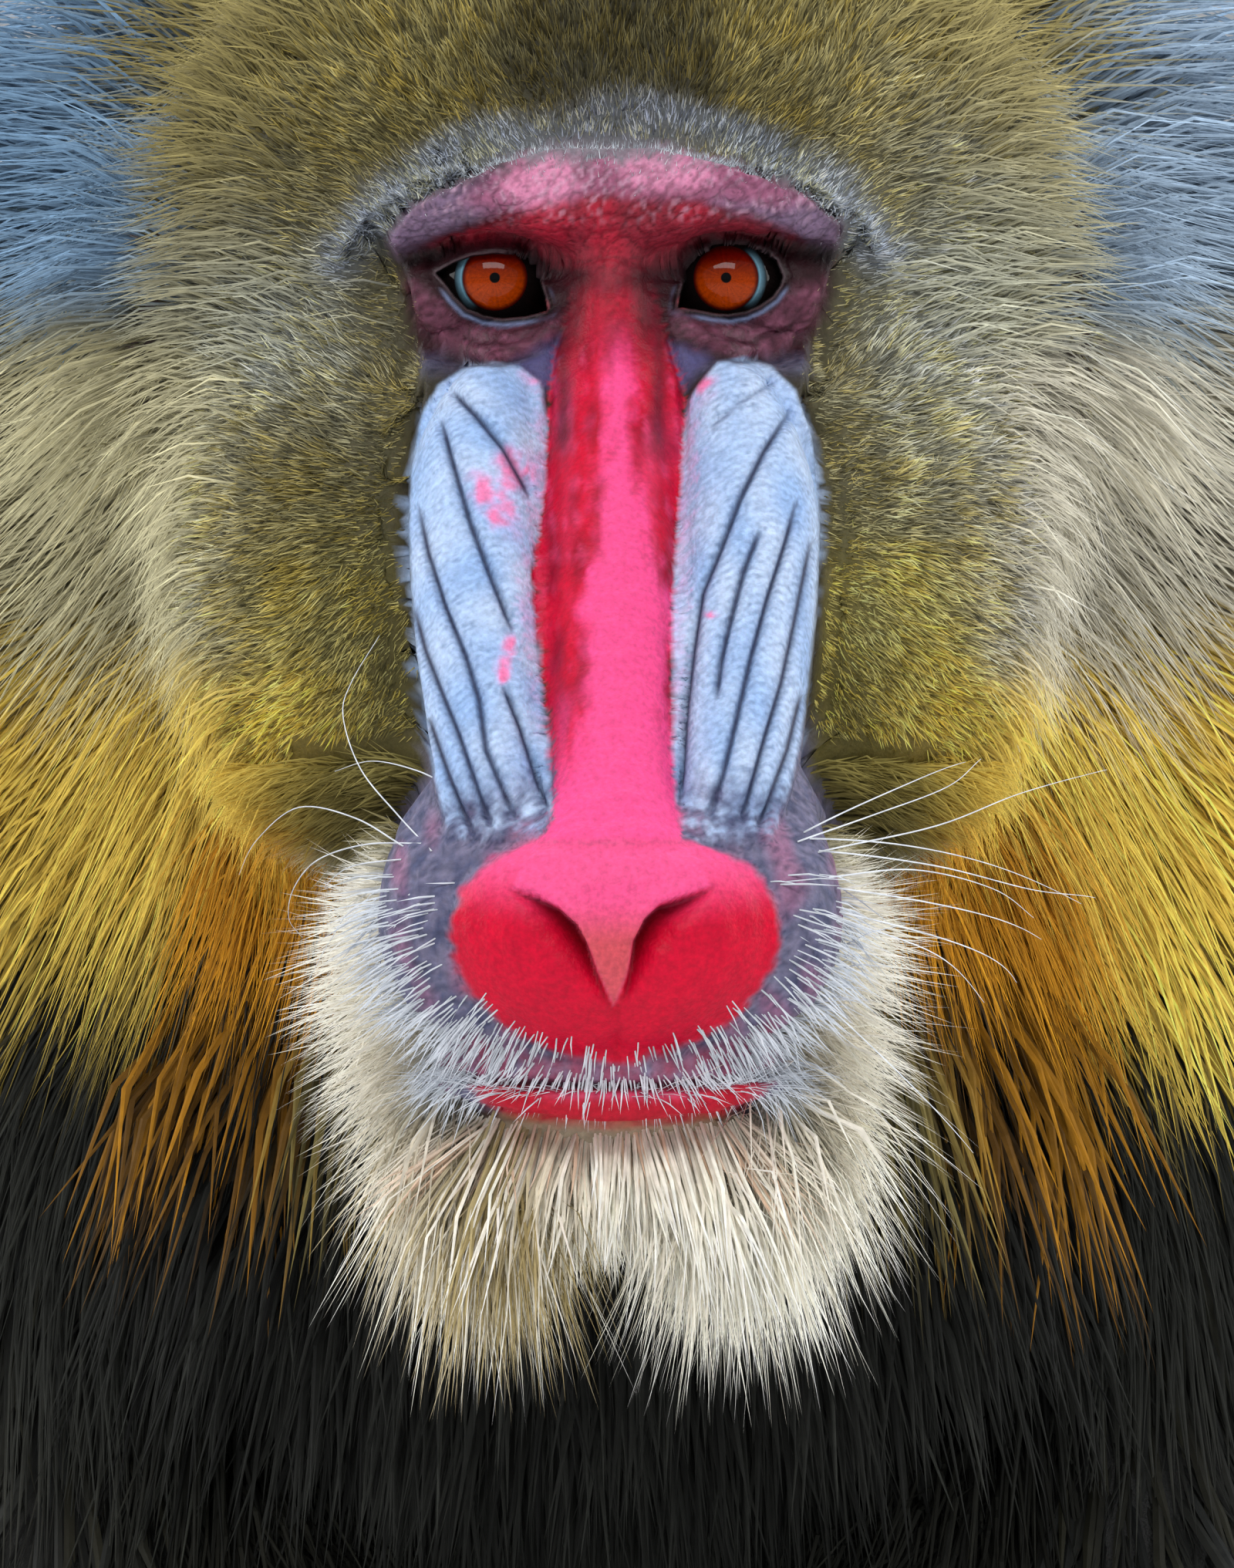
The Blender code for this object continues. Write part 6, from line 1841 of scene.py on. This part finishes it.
# The beard hangs from the chin in two points.
under = fringed * (drop > 0.150) * (forward > -0.02)
roots, ups, rng = grown("beard", under)
count = len(roots)
u, v = photo(roots)
lobes = np.exp(-((u - 630) / 70) ** 2) + np.exp(-((u - 960) / 80) ** 2)
lengths = (0.021 + 0.029 * np.clip(lobes, 0, 1)) * rng.uniform(0.6, 1.15, count)
widths = 0.00062 * rng.uniform(0.7, 1.3, count)
ways = np.stack([np.clip((u - 795) / 420, -0.7, 0.7), np.full(count, 0.05), np.full(count, -1.0)], 1)
ways += 0.25 * drift(roots, 0.010, 74)
rises = np.radians(rng.uniform(10, 55, count))
bends = swayed(rng, count, (0.0, 0.0, -0.9), 0.20)
tone = 1.75 * jaw_tone(roots)
yellow = np.exp(-((u - 665) / 70) ** 2) * (rng.random(count) < 0.75)
tone = mix(tone, BEARD_YELLOW, np.clip(yellow, 0, 1) * 0.85)
base, tips = agouti(tone, roots, rng, pale=0.0, dark=0.0, spread=0.08)
tufts("beard", roots, ups, ways, lengths, widths, rises, bends, base * 1.8, tips, rings=2)

# Stiff white bristles over the lip and the sides of the muzzle.
lip = inside(middles_u, middles_v, MUZZLE_OUTLINE, 6) * front_of_head(FACE_MIDDLES)
disc = inside(middles_u, middles_v, NOSE_OUTLINE, 4)
rim = step(34, 12, along(middles_u, middles_v, NOSE_OUTLINE)[0]) * step(1200, 1290, middles_v)
lip = lip * np.clip(1 - disc + 0.35 * rim, 0, 1) * step(1110, 1200, middles_v)
lip = lip * (0.35 + step(1280, 1350, middles_v)) * step(1422, 1404, middles_v)
roots, ups, rng = grown("bristles", lip)
count = len(roots)
u, v = photo(roots)
lengths = (0.0085 + 0.005 * step(120, 260, np.abs(u - 800))) * rng.uniform(0.6, 1.3, count)
widths = 0.00030 * rng.uniform(0.8, 1.3, count)
rises = np.radians(rng.uniform(18, 36, count))
ways = jaw_way(roots, (800.0, 1120.0)) + rng.normal(scale=0.10, size=(count, 3))
bends = swayed(rng, count, (0.0, 0.0, -0.20), 0.10)
tone = np.tile(BRISTLE, (count, 1))
tufts("bristles", roots, ups, ways, lengths, widths, rises, bends, tone * 0.8, tone * 1.15, rings=2)


def spot_of(u, v, forward):
    """The point that shows at a pixel of the photograph, that far forward of the eyes."""
    y = EYES_Y - forward
    scale = (y - CAMERA_Y) / CAMERA_DISTANCE * PIXEL
    return np.array([AIM_X + (u - FRAME_WIDTH / 2) * scale, y, AIM_Z + (FRAME_HEIGHT / 2 - v) * scale])


WHISKER = srgb(236, 240, 246)
WHISKER_HALF = 0.00022
WHISKERS = (
    ((1052, 1069), (1140, 1047), (1230, 1018), (1272, 984)),
    ((1090, 1022), (1180, 1006), (1252, 988)),
    ((1120, 1062), (1240, 1052), (1330, 1024), (1435, 998)),
    ((1105, 1032), (1200, 1072), (1300, 1118), (1402, 1172)),
    ((1125, 1052), (1240, 1100), (1345, 1148), (1420, 1164)),
    ((1190, 1130), (1290, 1178), (1350, 1218)),
    ((1225, 1176), (1292, 1228), (1318, 1274)),
    ((1110, 1120), (1200, 1120), (1290, 1150), (1340, 1190)),
    ((1150, 1200), (1230, 1240), (1276, 1300)),
    ((1120, 1330), (1200, 1420), (1262, 1495)),
    ((566, 1112), (520, 1062), (470, 1000), (446, 930), (456, 885), (492, 824)),
    ((562, 1014), (530, 996), (480, 986), (434, 1000)),
    ((470, 1054), (430, 1036), (374, 1036), (330, 1086), (310, 1134)),
    ((540, 1086), (470, 1090), (410, 1112), (380, 1150), (374, 1190), (392, 1216)),
    ((546, 1166), (500, 1190), (478, 1240), (488, 1300), (520, 1350)),
    ((530, 1200), (500, 1250), (500, 1310), (540, 1370)),
    ((560, 1180), (470, 1180), (430, 1220), (400, 1270)),
    ((500, 1100), (450, 1120), (420, 1150)),
)
points, triangles, spots = [], [], []
for k, line in enumerate(WHISKERS):
    starts = 0.078 if k < 10 else 0.076
    spine = smooth_rows([spot_of(u, v, starts - 0.012 * j) for j, (u, v) in enumerate(line)], 8)
    root = np.array(head_tree.find_nearest(Vector(spine[0]))[0][:])
    fade = np.linspace(1, 0, len(spine))[:, None] ** 2
    spine = spine + (root - spine[0]) * fade
    place = chart(root[None])[0]
    first = len(points)
    for j, spot in enumerate(spine):
        run = unit((spine[min(j + 1, len(spine) - 1)] - spine[max(j - 1, 0)])[None])[0]
        across = unit(np.cross(run, (0.0, 1.0, 0.1))[None])[0]
        above = np.cross(across, run)
        width = WHISKER_HALF * (1 - 0.75 * j / (len(spine) - 1))
        for turn in range(3):
            angle = 2 * math.pi * turn / 3
            points.append(spot + (across * math.cos(angle) + above * math.sin(angle)) * width)
            spots.append(place + np.array([(turn - 1) * 0.3, j / len(spine) - 0.5]) * PATCH)
        if j:
            low, high = first + 3 * (j - 1), first + 3 * j
            for turn in range(3):
                n = (turn + 1) % 3
                triangles += [(low + turn, low + n, high + n), (low + turn, high + n, high + turn)]
    last = len(points) - 3
    triangles += [(first, first + 2, first + 1), (last, last + 1, last + 2)]
points, triangles = np.array(points), np.array(triangles)
hairs = piece_from("whiskers", points, triangles, np.tile(WHISKER, (len(points), 1)), coat_look)
layer = hairs.data.uv_layers.new(name="OFBake")
layer.data.foreach_set("uv", np.array(spots, np.float32)[triangles.ravel()].ravel())


NAIL_DARK = srgb(40, 33, 32)
NAIL_TIP = srgb(104, 92, 82)


def nail(tip, length, half_width):
    """A curved plate that follows the top of a finger and runs a little past its end."""
    rows, columns = 9, 9
    top, tones = [], []
    height = None
    for row in range(rows):
        share = row / (rows - 1)
        y = tip.y + length * 0.55 - length * share
        hit = paw_tree.ray_cast(Vector((tip.x, y, 0.045)), Vector((0.0, 0.0, -1.0)))[0]
        low = hit.z if hit is not None else 0.0
        height = low if height is None else max(low, height - length / (rows - 1) * (0.35 + 0.9 * share))
        wide = half_width * (1 - 0.30 * share ** 3)
        for column in range(columns):
            across = 2 * column / (columns - 1) - 1
            corner = 0.12 * length * across ** 2 * (share > 0.5)
            arched = max(height + 0.0006 - 0.0021 * across ** 2, 0.0016)
            top.append((tip.x + wide * across, y + corner, arched))
            tones.append(NAIL_DARK * (1 - share ** 3) + NAIL_TIP * share ** 3)
    top = np.array(top)
    under = top - np.array([0.0, 0.0, 0.0012])
    triangles = []
    size = rows * columns
    for row in range(rows - 1):
        for column in range(columns - 1):
            a = row * columns + column
            b, c, d = a + 1, a + columns + 1, a + columns
            triangles += [(a, b, c), (a, c, d)]
            triangles += [(size + a, size + c, size + b), (size + a, size + d, size + c)]
    ring = list(range(columns)) + [row * columns + columns - 1 for row in range(1, rows)]
    ring += [size - 1 - column for column in range(1, columns)]
    ring += [row * columns for row in range(rows - 2, 0, -1)]
    for a, b in zip(ring, ring[1:] + ring[:1]):
        triangles += [(b, a, size + a), (b, size + a, size + b)]
    return np.vstack([top, under]), np.array(triangles), np.array(tones + tones)


NAILS = (("hand", hand_forms, (0.0088, 0.0042)), ("foot", foot_forms, (0.0090, 0.0043)))
nail_look = look_of("nail_look", 0.34, scale=700.0, spread=0.22, bump=0.25, bump_scale=2200.0, specular=0.4)
for word in SIDES:
    for part, forms, size in NAILS:
        points, triangles, tones = [], [], []
        first = 0
        for tip in forms(word)[1]:
            spots, faces, shades = nail(tip, *size)
            points.append(spots)
            triangles.append(faces + first)
            tones.append(shades)
            first += len(spots)
        made = piece_from(f"nails_{part}_{word}", np.vstack(points), np.vstack(triangles),
                          np.vstack(tones), nail_look)


for item in list(helpers.objects):
    remove(item)
bpy.context.scene.collection.children.unlink(helpers)
bpy.data.collections.remove(helpers)


FLOOR_HALF = 14.0
FLOOR_COLOUR = (0.78, 0.78, 0.77, 1.0)
SKY_COLOUR = (0.92, 0.95, 1.0, 1.0)
SKY_STRENGTH = 0.40
# Each lamp: name, place, target, sizes and power.
LAMPS = (
    ("key", (-0.15, -2.3, 1.85), (0.0, -0.30, 0.42), (2.3, 0.6), 34.0),
    ("top", (0.0, 0.2, 2.6), (0.0, 0.1, 0.4), (2.2, 2.2), 24.0),
    ("left", (2.6, 0.2, 1.2), (0.0, 0.0, 0.35), (1.6, 1.6), 30.0),
    ("right", (-2.6, 0.2, 1.2), (0.0, 0.0, 0.35), (1.6, 1.6), 30.0),
    ("rear", (0.0, 3.0, 1.6), (0.0, 0.2, 0.35), (2.0, 1.4), 40.0),
)


def stage_floor():
    """A wide pale floor, just under the feet."""
    bm = bmesh.new()
    bmesh.ops.create_grid(bm, x_segments=1, y_segments=1, size=FLOOR_HALF)
    bmesh.ops.translate(bm, verts=bm.verts, vec=(0.0, 0.0, -0.0002))
    mesh = bpy.data.meshes.new("floor")
    bm.to_mesh(mesh)
    bm.free()
    floor = bpy.data.objects.new("floor", mesh)
    bpy.context.scene.collection.objects.link(floor)
    look = bpy.data.materials.new("floor_look")
    look.use_nodes = True
    shader = look.node_tree.nodes["Principled BSDF"]
    shader.inputs["Base Color"].default_value = FLOOR_COLOUR
    shader.inputs["Roughness"].default_value = 0.7
    mesh.materials.append(look)


def area_light(name, spot, target, size, power):
    """A soft lamp at a spot, turned to its target."""
    data = bpy.data.lights.new(name, "AREA")
    data.shape = "RECTANGLE"
    data.size, data.size_y = size
    data.energy = power
    made = bpy.data.objects.new(name, data)
    made.location = spot
    made.rotation_mode = "QUATERNION"
    made.rotation_quaternion = (Vector(target) - Vector(spot)).to_track_quat("-Z", "Y")
    bpy.context.scene.collection.objects.link(made)


stage_floor()
scene = bpy.context.scene
scene.view_settings.view_transform = "Standard"
scene.view_settings.look = "None"
world = bpy.data.worlds.new("studio")
scene.world = world
world.use_nodes = True
world.node_tree.nodes["Background"].inputs["Color"].default_value = SKY_COLOUR
world.node_tree.nodes["Background"].inputs["Strength"].default_value = SKY_STRENGTH
for lamp in LAMPS:
    area_light(*lamp)

lens = bpy.data.cameras.new("camera")
lens.sensor_fit = "VERTICAL"
lens.sensor_height = 36.0
lens.lens = 36.0 * CAMERA_DISTANCE / (FRAME_HEIGHT * PIXEL)
lens.clip_start = 0.05
lens.clip_end = 60.0
camera = bpy.data.objects.new("camera", lens)
camera.location = (AIM_X, CAMERA_Y, AIM_Z)
camera.rotation_euler = (math.radians(90.0), 0.0, 0.0)
scene.collection.objects.link(camera)
scene.camera = camera
